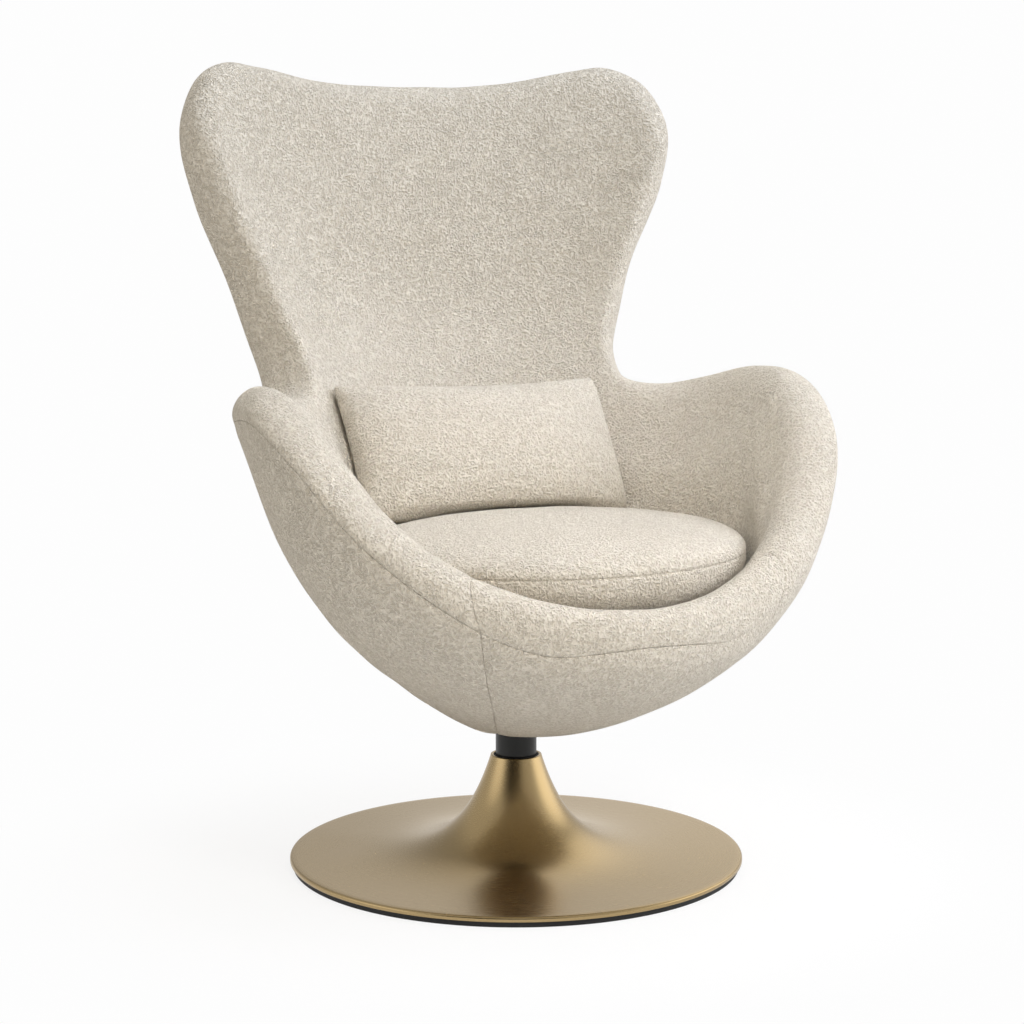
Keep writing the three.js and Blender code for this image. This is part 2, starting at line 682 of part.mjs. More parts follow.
// The moulded foam on the shell's inside, rolled over its edge to make the rim
function innerFoam() {
  const roll = (column, shares) => shares.map((share) => column.rim(Math.PI * share, foamFront));
  const outer = columns.map((column) => [
    ...column.above.map((level) => column.surface(level, foamBack)),
    ...roll(column, [0, 1 / 4, 1 / 2]),
  ]);
  const inner = columns.map((column) => [
    ...column.above.map((level) => column.inside(level, foamFront)),
    ...roll(column, [7 / 8, 3 / 4, 5 / 8]),
  ]);
  return slab(outer, inner);
}

// The liner: the inside cover, sewn to the outer covers on the outer shoulder and drawn over
// the rim and down to the deck
function liner() {
  const face = (cover) => columns.map((column) => [
    ...RIM_ANGLE_SHARES.map((share) => column.rim(Math.PI * share, cover)),
    ...column.above.toReversed().slice(1).map((level) => column.inside(level, cover)),
  ]);
  return slab(face(0), face(LINER_THICKNESS), { turnRow: RIM_ANGLE_SHARES.indexOf(1 / 2) + 1 });
}

// The seat deck: a foam block filling the bowl over the board, under a cloth disc
const deckBottom = deckHeight - LINER_THICKNESS;
const flatRing = (edge, share, height) => new THREE.Vector3(edge.x * share, edge.y * share, height);

function deckFoam() {
  const top = deckBottom - TOUCH_GAP;
  const under = columns.map((column) => {
    const wall = [...column.bowl.slice(0, -1), column.deckLevel - EDGE_STEP_SHARE];
    return wall.map((level) => column.surface(level, foamBack));
  });
  const over = columns.map((column, i) => {
    const rim = under[i].at(-1);
    const edge = column.inside(column.deckLevel, 0);
    const flat = spread(BOWL_ROWS, 0, 1).slice(1).map((share) => flatRing(edge, share, top));
    return [...flat, rim];
  });
  const poles = [foamFloor, top].map((height) => new THREE.Vector3(0, 0, height));
  return slab(under, over, { poles });
}

// The mounting board: plywood bonded into the bowl, cut to the bowl's outline
function mountingBoard() {
  const outline = columns.map((column) => column.surface(column.boardLevel, foamBack));
  const face = (height) => outline.map((edge) => [1 / 2, 1].map((share) => flatRing(edge, share, height)));
  const poles = [boardBottom, boardTop].map((height) => new THREE.Vector3(0, 0, height));
  const board = slab(face(boardBottom), face(boardTop), { poles });
  const holes = [];
  onCircle(SEAT_BOLTS, SEAT_BOLT_CIRCLE, (_, x, y) => {
    const radius = TNUT_BARREL_RADIUS + TOUCH_GAP;
    holes.push(bar(radius, boardBottom - CUT_OVERRUN, boardTop + CUT_OVERRUN, SCREW_ROUND, x, y));
  });
  return cut(board, ...holes);
}

function deckCover() {
  const face = (height) => columns.map((column) => {
    const edge = column.inside(column.deckLevel, 0);
    const reach = Math.hypot(edge.x, edge.y);
    return [1 / 2, 1 - DECK_EDGE_GAP / reach].map((share) => flatRing(edge, share, height));
  });
  const poles = [deckBottom, deckHeight].map((height) => new THREE.Vector3(0, 0, height));
  return slab(face(deckBottom), face(deckHeight), { poles });
}

// The seat cushion: round, crowned above its seam and flatter below it
const CUSHION_WIDTH = 0.63 * OVERALL_WIDTH;
const CUSHION_FRONT_REACH = 0.57 * POD_FRONT_REACH;
const CUSHION_BACK_REACH = 0.533 * POD_BACK_REACH;
const CUSHION_CENTRE_SHIFT = 0.267 * POD_BACK_REACH;
const CUSHION_CROWN = 0.0546 * podHeight;
const CUSHION_BELLY = 0.1024 * podHeight;
const CUSHION_CLOTH = 3;
const CUSHION_COLUMNS = 28;
const CUSHION_ROWS = 5;
const CROWN_POWER = 3.2;
const BELLY_POWER = 2.4;
const cushionSeam = deckHeight + TOUCH_GAP + CUSHION_BELLY;

// A face of the cushion from its middle out to its seam, drawn in all round by an inset
function cushionFace(height, power, inset, gap) {
  const reach = Math.abs(height) - inset;
  return spread(CUSHION_COLUMNS + 1, 0, Math.PI * 2).slice(0, -1).map((around) =>
    spread(CUSHION_ROWS + 1, 0, 1).slice(1).map((share) => {
      const angle = ((1 - share) * Math.PI) / 2;
      const out = Math.cos(angle) ** (2 / power);
      const up = reach * Math.sin(angle) ** (2 / power);
      const ahead = Math.cos(around);
      const depth = (ahead > 0 ? CUSHION_FRONT_REACH : CUSHION_BACK_REACH) - inset;
      return new THREE.Vector3(
        out * Math.sin(around) * (CUSHION_WIDTH / 2 - inset),
        -out * ahead * depth - CUSHION_CENTRE_SHIFT,
        cushionSeam + Math.sign(height) * (up + gap),
      );
    }));
}

const cushionPole = (height, inset, gap) => new THREE.Vector3(
  0,
  -CUSHION_CENTRE_SHIFT,
  cushionSeam + Math.sign(height) * (Math.abs(height) - inset + gap),
);

const coreInset = CUSHION_CLOTH + TOUCH_GAP;

function cushionTopCover() {
  const under = cushionFace(CUSHION_CROWN, CROWN_POWER, CUSHION_CLOTH, seamHalfGap);
  const over = cushionFace(CUSHION_CROWN, CROWN_POWER, 0, seamHalfGap);
  const poles = [CUSHION_CLOTH, 0].map((inset) => cushionPole(CUSHION_CROWN, inset, seamHalfGap));
  return slab(under, over, { poles });
}

function cushionBottomCover() {
  const under = cushionFace(-CUSHION_BELLY, BELLY_POWER, 0, seamHalfGap);
  const over = cushionFace(-CUSHION_BELLY, BELLY_POWER, CUSHION_CLOTH, seamHalfGap);
  const poles = [0, CUSHION_CLOTH].map((inset) => cushionPole(-CUSHION_BELLY, inset, seamHalfGap));
  return slab(under, over, { poles });
}

function cushionCore() {
  const under = cushionFace(-CUSHION_BELLY, BELLY_POWER, coreInset, seamHalfGap);
  const over = cushionFace(CUSHION_CROWN, CROWN_POWER, coreInset, seamHalfGap);
  const poles = [-CUSHION_BELLY, CUSHION_CROWN].map((height) => cushionPole(height, coreInset, seamHalfGap));
  return slab(under, over, { poles });
}

// The lumbar pillow: two cloth faces sewn round the edge over a filling, leaning on the back
const PILLOW_WIDTH = 0.476 * OVERALL_WIDTH;
const PILLOW_HEIGHT = 0.2195 * podHeight;
const PILLOW_THICKNESS = 0.141 * podHeight;
const PILLOW_LEAN_ANGLE = 0.6;
const PILLOW_FOOT_BACK = 0.114 * POD_BACK_REACH;
const PILLOW_SETTLE = 1.6;
const PILLOW_EDGE = 2;
const PILLOW_CLOTH = 3;
const PILLOW_COLUMNS = 11;
const PILLOW_ROWS = 7;
const PILLOW_PUFF_POWER = 0.42;
const PILLOW_PINCH_SHARE = 0.045;

// A face of the pillow's grid, closer towards its edges; the filling leaves the outermost lines out
function pillowFace(side, halfThickness, left = 0) {
  const lines = (count) => spread(count, -1, 1).map((at) => Math.sin((at * Math.PI) / 2));
  const inside = (list) => list.slice(left, list.length - left);
  return inside(lines(PILLOW_COLUMNS)).map((u) => inside(lines(PILLOW_ROWS)).map((v) => {
    const puff = Math.max((1 - u ** 2) * (1 - v ** 2), 0) ** PILLOW_PUFF_POWER;
    return new THREE.Vector3(
      (PILLOW_WIDTH / 2) * (u - PILLOW_PINCH_SHARE * u ** 3 * (1 - v ** 2)),
      side * halfThickness(puff),
      (PILLOW_HEIGHT / 2) * (v - PILLOW_PINCH_SHARE * v ** 3 * (1 - u ** 2)),
    );
  }));
}

const pillowSpan = PILLOW_THICKNESS / 2 - PILLOW_EDGE;
const pillowOuter = (puff) => PILLOW_EDGE + pillowSpan * puff;
const pillowLining = (puff) => seamHalfGap + (pillowSpan + PILLOW_EDGE - PILLOW_CLOTH) * puff;
const pillowFilling = (puff) => pillowLining(puff) - TOUCH_GAP;
const FRONT = -1;
const BACK = 1;

const pillowCover = (side) => (side === FRONT
  ? slab(pillowFace(FRONT, pillowOuter), pillowFace(FRONT, pillowLining), { closed: false })
  : slab(pillowFace(BACK, pillowLining), pillowFace(BACK, pillowOuter), { closed: false }));

const pillowPad = () => slab(
  pillowFace(FRONT, pillowFilling, 1),
  pillowFace(BACK, pillowFilling, 1),
  { closed: false },
);

// The pieces, from the floor up
add('floor_ring', floorRing(), RUBBER());
const boltHole = BOLT_RADIUS + BOLT_CLEARANCE;
add('ballast_plate', discWithHoles(
  ringInner - TOUCH_GAP, plateBottom, plateTop, FLANGE_BOLTS, FLANGE_BOLT_CIRCLE, boltHole,
), STEEL());
add('base_trumpet', trumpet(), BRASS());
add('column_tube', columnTube(), BLACK_STEEL());
onCircle(FLANGE_BOLTS, FLANGE_BOLT_CIRCLE, (number, x, y) => {
  add(`flange_bolt_${number}`, bolt(x, y, plateBottom, flangeTop + TOUCH_GAP), STEEL());
});
const lowerBushBottom = lowerStep + TOUCH_GAP;
add('lower_bush', ring(
  shaftBore, LOWER_BORE - TOUCH_GAP, lowerBushBottom, lowerBushBottom + BUSH_LENGTH, SMALL_ROUND,
), NYLON());
add('upper_bush', ring(
  shaftBore, raceOuter, upperStep + TOUCH_GAP, upperBushTop, SMALL_ROUND,
), NYLON());
add('bearing_lower_race', ring(
  shaftBore, raceOuter, lowerRaceBottom, lowerRaceBottom + RACE_THICKNESS, SMALL_ROUND,
), STEEL());
add('bearing_cage', ballCage(), STEEL());
add('bearing_upper_race', ring(
  shaftBore, raceOuter, upperRaceBottom, upperRaceBottom + RACE_THICKNESS, SMALL_ROUND,
), STEEL());
add('mouth_seal', ring(UPPER_BORE, TUBE_OUTER_RADIUS, tubeTop + TOUCH_GAP, sealTop, MEDIUM_ROUND), RUBBER());
add('swivel_column', swivelColumn(), BLACK_STEEL());
add('spindle', spindle(), STEEL());
add('spindle_washer', ring(
  shaftBore, CLIP_BORE - BOLT_CLEARANCE, clipTop + RUNNING_GAP, washerTop, SMALL_ROUND,
), STEEL());
add('retaining_clip', retainingClip(), STEEL());
add('seat_plate', seatPlate(), BLACK_STEEL());
onCircle(SEAT_BOLTS, SEAT_BOLT_CIRCLE, (number, x, y) => {
  add(`seat_bolt_${number}`, bolt(x, y, tnutTop, seatPlateBottom - TOUCH_GAP), STEEL());
  add(`t_nut_${number}`, tNut(x, y), STEEL());
});
add('mounting_board', mountingBoard(), PLYWOOD());
add('shell_core', shellCore(), GLASSFIBRE());
add('inner_foam', innerFoam(), FOAM());
add('deck_foam', deckFoam(), FOAM());
add('deck_cover', deckCover(), LINING());
add('liner_cover', liner(), BOUCLE());
const backSeam = COLUMNS_PER_SIDE;
const railSeam = Math.round(RAIL_SEAM_SHARE * COLUMNS_PER_SIDE);
add('outer_cover_right', outerCover(railSeam, backSeam), BOUCLE());
add('outer_cover_left', outerCover(backSeam, 2 * backSeam - railSeam), BOUCLE());
add('front_rail_cover', outerCover(-railSeam, railSeam), BOUCLE());
add('cushion_bottom_cover', cushionBottomCover(), BOUCLE());
add('cushion_core', cushionCore(), FOAM());
add('cushion_top_cover', cushionTopCover(), BOUCLE());

const pillow = new THREE.Group();
const restShare = (PILLOW_FOOT_BACK + CUSHION_CENTRE_SHIFT) / CUSHION_BACK_REACH;
const crownAtRest = CUSHION_CROWN * (1 - restShare ** CROWN_POWER) ** (1 / CROWN_POWER);
const halfPillow = PILLOW_HEIGHT / 2;
pillow.position.set(
  0,
  PILLOW_FOOT_BACK + halfPillow * Math.sin(PILLOW_LEAN_ANGLE),
  cushionSeam + crownAtRest - PILLOW_SETTLE + halfPillow * Math.cos(PILLOW_LEAN_ANGLE),
);
pillow.rotation.x = -PILLOW_LEAN_ANGLE;
part.add(pillow);
pillow.add(
  add('pillow_front_cover', pillowCover(FRONT), BOUCLE()),
  add('pillow_back_cover', pillowCover(BACK), BOUCLE()),
  add('pillow_filling', pillowPad(), FIBREFILL()),
);

export default part;
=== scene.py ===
"""A swivel pod chair in cream boucle on a brushed-brass trumpet base, dressed over its CAD frame.

Metres, +Z up, the sitter faces -Y. The pod's surface comes from the same two tables as the CAD
part's, read on a much finer grid, so that each visible piece lies on its solid.
"""
import math

import bpy
import numpy as np
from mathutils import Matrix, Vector
from mathutils.bvhtree import BVHTree


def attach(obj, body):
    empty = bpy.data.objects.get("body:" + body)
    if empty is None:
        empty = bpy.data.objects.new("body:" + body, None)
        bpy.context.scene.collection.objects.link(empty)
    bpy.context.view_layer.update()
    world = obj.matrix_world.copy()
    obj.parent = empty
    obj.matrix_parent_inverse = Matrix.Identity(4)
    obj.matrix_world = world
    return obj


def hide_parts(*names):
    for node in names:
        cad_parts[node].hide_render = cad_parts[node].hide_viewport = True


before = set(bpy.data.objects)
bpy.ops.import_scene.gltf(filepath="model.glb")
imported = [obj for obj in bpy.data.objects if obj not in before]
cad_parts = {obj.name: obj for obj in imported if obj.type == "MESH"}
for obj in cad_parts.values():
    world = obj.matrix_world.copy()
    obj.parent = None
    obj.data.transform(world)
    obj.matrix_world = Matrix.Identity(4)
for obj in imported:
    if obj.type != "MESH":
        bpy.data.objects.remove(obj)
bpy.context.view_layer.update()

# The CAD part's driving sizes
OVERALL_HEIGHT = 1.066
OVERALL_WIDTH = 0.811
POD_FRONT_REACH = 0.390
POD_BACK_REACH = 0.390
POD_BOTTOM = 0.187
BASE_DIAMETER = 0.610
BASE_HEIGHT = 0.148
COLUMN_DIAMETER = 0.055
POD_HEIGHT = OVERALL_HEIGHT - POD_BOTTOM

# The pod's outer surface by level: height, half width, back and front reach, and the widest
# point's forward shift, as shares
LEVEL_SHARES = np.array([
    [0.000, 0.074, 0.077, 0.077, 0.00],
    [0.003, 0.150, 0.130, 0.210, 0.04],
    [0.022, 0.240, 0.185, 0.395, 0.12],
    [0.053, 0.355, 0.260, 0.595, 0.18],
    [0.100, 0.502, 0.345, 0.795, 0.25],
    [0.163, 0.668, 0.431, 0.945, 0.31],
    [0.242, 0.809, 0.554, 1.003, 0.35],
    [0.334, 0.907, 0.662, 1.026, 0.33],
    [0.447, 0.976, 0.812, 1.038, 0.29],
    [0.584, 1.031, 0.945, 1.050, 0.10],
    [0.743, 1.044, 0.968, 1.066, -0.25],
    [0.891, 1.013, 0.980, 1.074, -0.50],
    [1.030, 1.010, 1.005, 1.074, -0.62],
])
TOP_LEVEL = len(LEVEL_SHARES) - 1

# The rim from the front middle to the back middle: where its column starts and ends, and the
# crest's height
RIM_SHARES = np.array([
    [0.000, 0.000, 0.229], [0.080, 0.080, 0.235], [0.160, 0.160, 0.254],
    [0.250, 0.250, 0.299], [0.345, 0.345, 0.380], [0.424, 0.424, 0.475],
    [0.490, 0.490, 0.524], [0.550, 0.555, 0.524], [0.618, 0.632, 0.500],
    [0.680, 0.700, 0.478], [0.732, 0.745, 0.486], [0.775, 0.758, 0.533],
    [0.800, 0.746, 0.599], [0.822, 0.716, 0.703], [0.842, 0.652, 0.817],
    [0.862, 0.612, 0.902], [0.884, 0.654, 0.968], [0.910, 0.722, 1.000],
    [0.940, 0.785, 0.997], [0.970, 0.890, 0.977], [1.000, 1.000, 0.972],
])
SWING_START_SHARE = 0.65
SWING_POWER = 3

# The upholstery's thickness and the height of its roll at the rail, the arms and the wings
THICKNESS = tuple(share * POD_HEIGHT for share in (0.08, 0.0865, 0.0775))
ROLL_RISE = tuple(share * POD_HEIGHT for share in (0.075, 0.041, 0.042))

# The wings' slanted rim, and where the upholstery is fuller or thinner
WING_SKEW = 0.029 * POD_HEIGHT
LUMBAR_FILL = 0.03 * POD_HEIGHT
SEAT_THINNING = 0.014 * POD_HEIGHT
ARM_FULLNESS = 0.024 * POD_HEIGHT
FULLNESS_HEIGHT_SHARES = (0.2, 0.32)
FULLNESS_BELOW_CREST_SHARES = (0.17, 0.04)
RAIL_TO_ARM_SHARES = (0.1, 0.4)
ARM_TO_WING_SHARES = (0.6, 0.8)
LUMBAR_HEIGHT_SHARES = (0.36, 0.77)
SEAT_HEIGHT_SHARES = (0.175, 0.34)
FLAT_FOOT_SHARE = 0.058
COVER_THICKNESS = 0.010
FOAM_BACK = 0.0176
LINER_THICKNESS = 0.003
EDGE_DEPTH = 0.011

# The front rail's seams: their place, their drift lower down, and the rim's angle at the upper one
RAIL_SEAM_SHARE = 3 / 22
RAIL_SEAM_DRIFT = 0.062
RAIL_SEAM_LIFT = 0.60

# The deck under the cushion
DECK_DROP_SHARE = 0.05
DECK_EDGE_GAP = 0.0008
DECK_HEIGHT = POD_BOTTOM + (RIM_SHARES[0, 2] - DECK_DROP_SHARE) * POD_HEIGHT

# The seat cushion and the lumbar pillow
CUSHION_WIDTH = 0.645 * OVERALL_WIDTH
CUSHION_FRONT_REACH = 0.57 * POD_FRONT_REACH
CUSHION_BACK_REACH = 0.533 * POD_BACK_REACH
CUSHION_SHIFT = 0.267 * POD_BACK_REACH
CUSHION_CROWN = 0.0505 * POD_HEIGHT
CUSHION_BELLY = 0.1065 * POD_HEIGHT
CROWN_POWER = 2.7
BELLY_POWER = 2.4
TOUCH_GAP = 0.0003
CUSHION_SEAM = DECK_HEIGHT + TOUCH_GAP + CUSHION_BELLY
PILLOW_WIDTH = 0.476 * OVERALL_WIDTH
PILLOW_HEIGHT = 0.2195 * POD_HEIGHT
PILLOW_THICKNESS = 0.141 * POD_HEIGHT
PILLOW_LEAN = 0.6
PILLOW_FOOT_BACK = 0.114 * POD_BACK_REACH
PILLOW_EDGE = 0.002
PUFF_POWER = 0.42
PILLOW_SIDE_PINCH = 0.02
PILLOW_TOP_PINCH = 0.22
PILLOW_FOOT_PINCH = 0.01
PILLOW_CORNER_POWER = 22
PILLOW_DROP = 0.0076
PILLOW_RISE = 0.014
PILLOW_ROLL = 0.012
PILLOW_ASIDE = 0.001
PILLOW_SPREAD = 0.005
PRESSED_GAP = 0.0012

# The trumpet base: its neck and mouth, its flare, and its rolled edge over the ballast plate
NECK_RADIUS = 0.034
NECK_EASE = 0.0001
NECK_ROUND = 0.0005
MOUTH_RADIUS = 0.0303
MOUTH_LIP = 0.0015
LIP_ROUND = 0.0004
FLARE_LENGTH = 0.042
FLARE_STATIONS = 120
FLARE_POWER = 1.7
UNDER_START = 4
EDGE_ROLL = 0.003
ROLL_STATIONS = 9
SHEET = 0.002
PLATE_TOP = 0.0118
EDGE_TOP = PLATE_TOP + TOUCH_GAP + SHEET
EDGE_BOTTOM = 0.0073

# The floor ring, the seal at the mouth, and what stands on the column
RING_INSET = 0.004
RING_WIDTH = 0.03
RING_HEIGHT = 0.007
RING_LIP = 0.004
RING_FLOOR = 0.003
TUBE_DROP = 0.0015
TUBE_TOP = BASE_HEIGHT - TUBE_DROP
SEAL_INNER, SEAL_OUTER = 0.025, 0.030
SEAL_HEIGHT = 0.0016
SEAL_TOP = TUBE_TOP + TOUCH_GAP + SEAL_HEIGHT
COLUMN_BORE = 0.0127
SHANK_RADIUS = 0.0247
SHANK_DEPTH = 0.006
SEAT_PLATE = 0.006
BOARD_THICKNESS = 0.018
T_NUT_HEAD = 0.0016
MOUNT_HEIGHT_SHARE = 0.074
MOUNT_HEIGHT = POD_BOTTOM + MOUNT_HEIGHT_SHARE * POD_HEIGHT
COLUMN_TOP = MOUNT_HEIGHT - TOUCH_GAP - SEAT_PLATE - TOUCH_GAP
FOAM_FLOOR = MOUNT_HEIGHT + BOARD_THICKNESS + TOUCH_GAP + T_NUT_HEAD + TOUCH_GAP

# Turned pieces: their facets, and how a profile's corners are rounded
LARGE_ROUND, MEDIUM_ROUND, SMALL_ROUND = 256, 128, 96
STEEL_ROUND = 0.0008
SEAL_ROUND = 0.0005
CORNER_STEPS = 5
CORNER_SIDE_PARTS = 2.5
CORNER_HOLD_SHARE = 0.2

# The fine grid
GRID_STEP = 0.0045
SHARE_SAMPLES = 700
PATH_SAMPLES = 160
CROWN_SAMPLES = 4 * PATH_SAMPLES
SOLVE_STEPS = 30
WALL_SAMPLES = 48
RIM_SAMPLES = 12
BACK_ROWS = 12
DECK_ROWS = 40
DECK_WALL_ROWS = 12
DECK_ROUND_SHARES = (0.96, 1.0)
CUSHION_COLUMNS = 360
POLE_SHARE = 0.985
SLOPE_STEP = 1e-4
CREST_STEP = 1e-3
LEAST_SPAN = 1e-4
TINY = 1e-12

# How cloth lies: its rounded edge at a seam, the shallow valley there, and its unevenness
SEAM_ROUND = 0.0020
SEAM_STEPS = np.array([0.00015, 0.0005, 0.0011, 0.0019, 0.0030])
VALLEY_DEPTH = 0.0012
VALLEY_REACH = 0.010
SWELL = 0.0012
SWELL_FADE = (0.004, 0.05)
CUSHION_SWELL = 0.0010
CUSHION_SWELL_FADE = (0.0, 0.03)
CUSHION_GROOVE = 0.0016
CUSHION_GROOVE_REACH = 0.0014
CUSHION_VALLEY = 0.0005
CUSHION_ROW_GAP = 0.001
BESIDE_SEAM = 1.4 * SEAM_STEPS[-1]

# The lining's shoulder: how often its kinks are softened, and between which shares of the rim's
# length this sets in, at the arms and at the wings
SHOULDER_ROWS = 120
SHOULDER_PASSES = 110
WING_PASSES = 24
SHOULDER_SHARES = ((0.45, 0.95), (0.48, 0.90))

# The unevenness: each slow wave's direction, length and phase
SWELL_WAVES = (
    ((0.62, 0.55, 0.56), 0.105, 0.3),
    ((-0.71, 0.33, 0.62), 0.083, 1.9),
    ((0.18, -0.90, 0.40), 0.121, 4.2),
    ((0.81, -0.12, -0.57), 0.067, 2.6),
    ((-0.30, 0.22, -0.93), 0.094, 5.1),
)

# The boucle's loops, fibres, colours (painted shade in the loops' hollows, painted light on crests)
# and patches
LOOP_SCALE = 200
LOOP_TURNS = 2.4
LOOP_WARP = 0.0032
LOOP_WARP_SCALE = 1.9 * LOOP_SCALE
LOOP_LAYERS = ((0, 0, 0), (3.1, 1.7, 2.3))
LOOP_HEIGHT = 0.0030
# Painted shade and highlight: the loop colours darken the hollows between loops and lighten their
# crests
LOOP_PAINTED_SHADE_COLORS = ((0.1, (0.675, 0.61, 0.505)), (0.9, (0.885, 0.83, 0.73)))
FIBRE_SHARE = 0.3
PATCH_TONES = ((0.3, (0.97, 0.967, 0.96)), (0.7, (1.0, 1.0, 1.0)))

# The pillow's cloth run, and how its filled shape is finished
PILLOW_COLUMNS = 81
PILLOW_ROWS = 41
PILLOW_CLOTH = dict(
    quality=6, mass=0.3, use_pressure=True, uniform_pressure_force=3.0,
    tension_stiffness=25, compression_stiffness=25, bending_stiffness=1.2)
SIMULATED_FRAMES = 30
PILLOW_CAP = 0.006
PILLOW_CREASE = 0.6

# The stage: the background and the floor as seen, and the floor as it throws light back
BACKGROUND = 0.985
FLOOR_TONE = (0.16, 0.16, 0.16)
FLOOR_BOUNCE = (0.92, 0.91, 0.89)
FLOOR_LIFT = 0.825
FLOOR_HALF = 30
FLOOR_FADE = (0.33, 0.75)

# The even light on the chair, by the way that it comes from
AMBIENT_COLOR = (1.0, 0.94, 0.85)
AMBIENT_WAYS = (((1, 0, 0), 0.25), ((0, 0, 1), 0.69))

# What glossy pieces mirror: a level, bright lobes (direction, start, end, strength), and shades
# over both (direction, start, end, and the levels at both)
GLOSS_LEVEL = 0.72
GLOSS_LOBES = (
    ((0.97, -0.22, 0.10), 0.78, 0.97, 1.5),
    ((-0.99, 0.08, 0.10), 0.84, 0.98, 0.9),
    ((0.44, 0.90, 0.0), 0.95, 1.0, 0.4),
    ((0.54, 0.54, 0.64), 0.86, 0.99, 0.85),
)
SHADES = (
    ((-0.60, -0.77, 0.22), 0.74, 0.95, 1.0, 0.03),
    ((0.05, 0.80, 0.60), 0.84, 1.0, 1.0, 0.6),
)

# The lamps: name, place, target, side, watts, colour, and spread in degrees
LAMPS = (
    ("key", (2.6, -1.6, 2.2), (0, -0.1, 0.5), 2.0, 67, (0.73, 0.80, 0.95), 180),
    ("top", (0.2, -0.5, 3.2), (0, -0.05, 0.5), 2.4, 24, (0.68, 0.81, 1.0), 180),
    ("seat", (0.1, -2.3, 2.5), (0, -0.2, 0.5), 0.8, 1.25, (1.0, 0.92, 0.83), 28),
)

# The camera, in metres and degrees, and its lens and sensor in millimetres
CAMERA_AZIMUTH = -26
CAMERA_DISTANCE = 3.3
CAMERA_HEIGHT = 0.946
CAMERA_DOWN = 8.099
CAMERA_LENS = 88.2
CAMERA_SENSOR = 36
CAMERA_SHIFT = -0.004


def read_table(table, at):
    """A smooth curve through the rows of a table, read at fractional row numbers."""
    last = len(table) - 1
    at = np.clip(at, 0, last)
    k = np.minimum(np.floor(at).astype(int), last - 1)
    t = (at - k)[..., None]
    p0, p1, p2, p3 = (table[np.clip(k + i, 0, last)] for i in (-1, 0, 1, 2))
    m1, m2 = (p2 - p0) / 2, (p3 - p1) / 2
    square = (3 * (p2 - p1) - 2 * m1 - m2) * t ** 2
    cube = (2 * (p1 - p2) + m1 + m2) * t ** 3
    return p1 + m1 * t + square + cube


def smooth_step(x, low, high):
    t = np.clip((x - low) / (high - low), 0, 1)
    return t * t * (3 - 2 * t)


def unit(v):
    return v / np.maximum(np.linalg.norm(v, axis=-1, keepdims=True), TINY)


def height_share(level):
    return read_table(LEVEL_SHARES, level)[..., 0]


def pod_point(turn, side, level):
    """The outer surface at a turn (0 front, 1 back) of one side, and a level."""
    height, width, back, front, shift = np.moveaxis(read_table(LEVEL_SHARES, level), -1, 0)
    angle = (turn - 0.5) * np.pi
    centre = -shift * POD_BACK_REACH
    sine = np.sin(angle)
    reach = np.where(sine > 0, back * POD_BACK_REACH - centre, front * POD_FRONT_REACH + centre)
    return np.stack([
        side * width * OVERALL_WIDTH * np.cos(angle) / 2,
        centre + reach * sine,
        POD_BOTTOM + height * POD_HEIGHT,
    ], axis=-1)


def read_rim(share):
    """The rim's table, mirrored past both of its ends so that the middle has no crease."""
    first, last = RIM_SHARES[1] * (-1, -1, 1), RIM_SHARES[-2] * (-1, -1, 1) + (2, 2, 0)
    table = np.vstack([first, RIM_SHARES, last])
    return read_table(table, 1 + share * (len(RIM_SHARES) - 1))


def inward_normal(turn, side, level):
    """The outer surface's normal towards the pod's inside, upright at the flat foot."""
    step = SLOPE_STEP
    across = pod_point(turn + step, side, level) - pod_point(turn - step, side, level)
    along = pod_point(turn, side, level + step) - pod_point(turn, side, np.maximum(level - step, 0))
    normal = unit(np.cross(across, along) * -side[..., None])
    up = 1 - smooth_step(level, 0, FLAT_FOOT_SHARE * TOP_LEVEL)[..., None]
    return unit(normal + (np.array([0, 0, 1.0]) - normal) * up)


def solve(low, high, target, value):
    """Where a rising function passes a target between two ends, for a whole array."""
    a, b = low.copy(), high.copy()
    for _ in range(SOLVE_STEPS):
        middle = (a + b) / 2
        below = value(middle) < target
        a, b = np.where(below, middle, a), np.where(below, b, middle)
    return (a + b) / 2


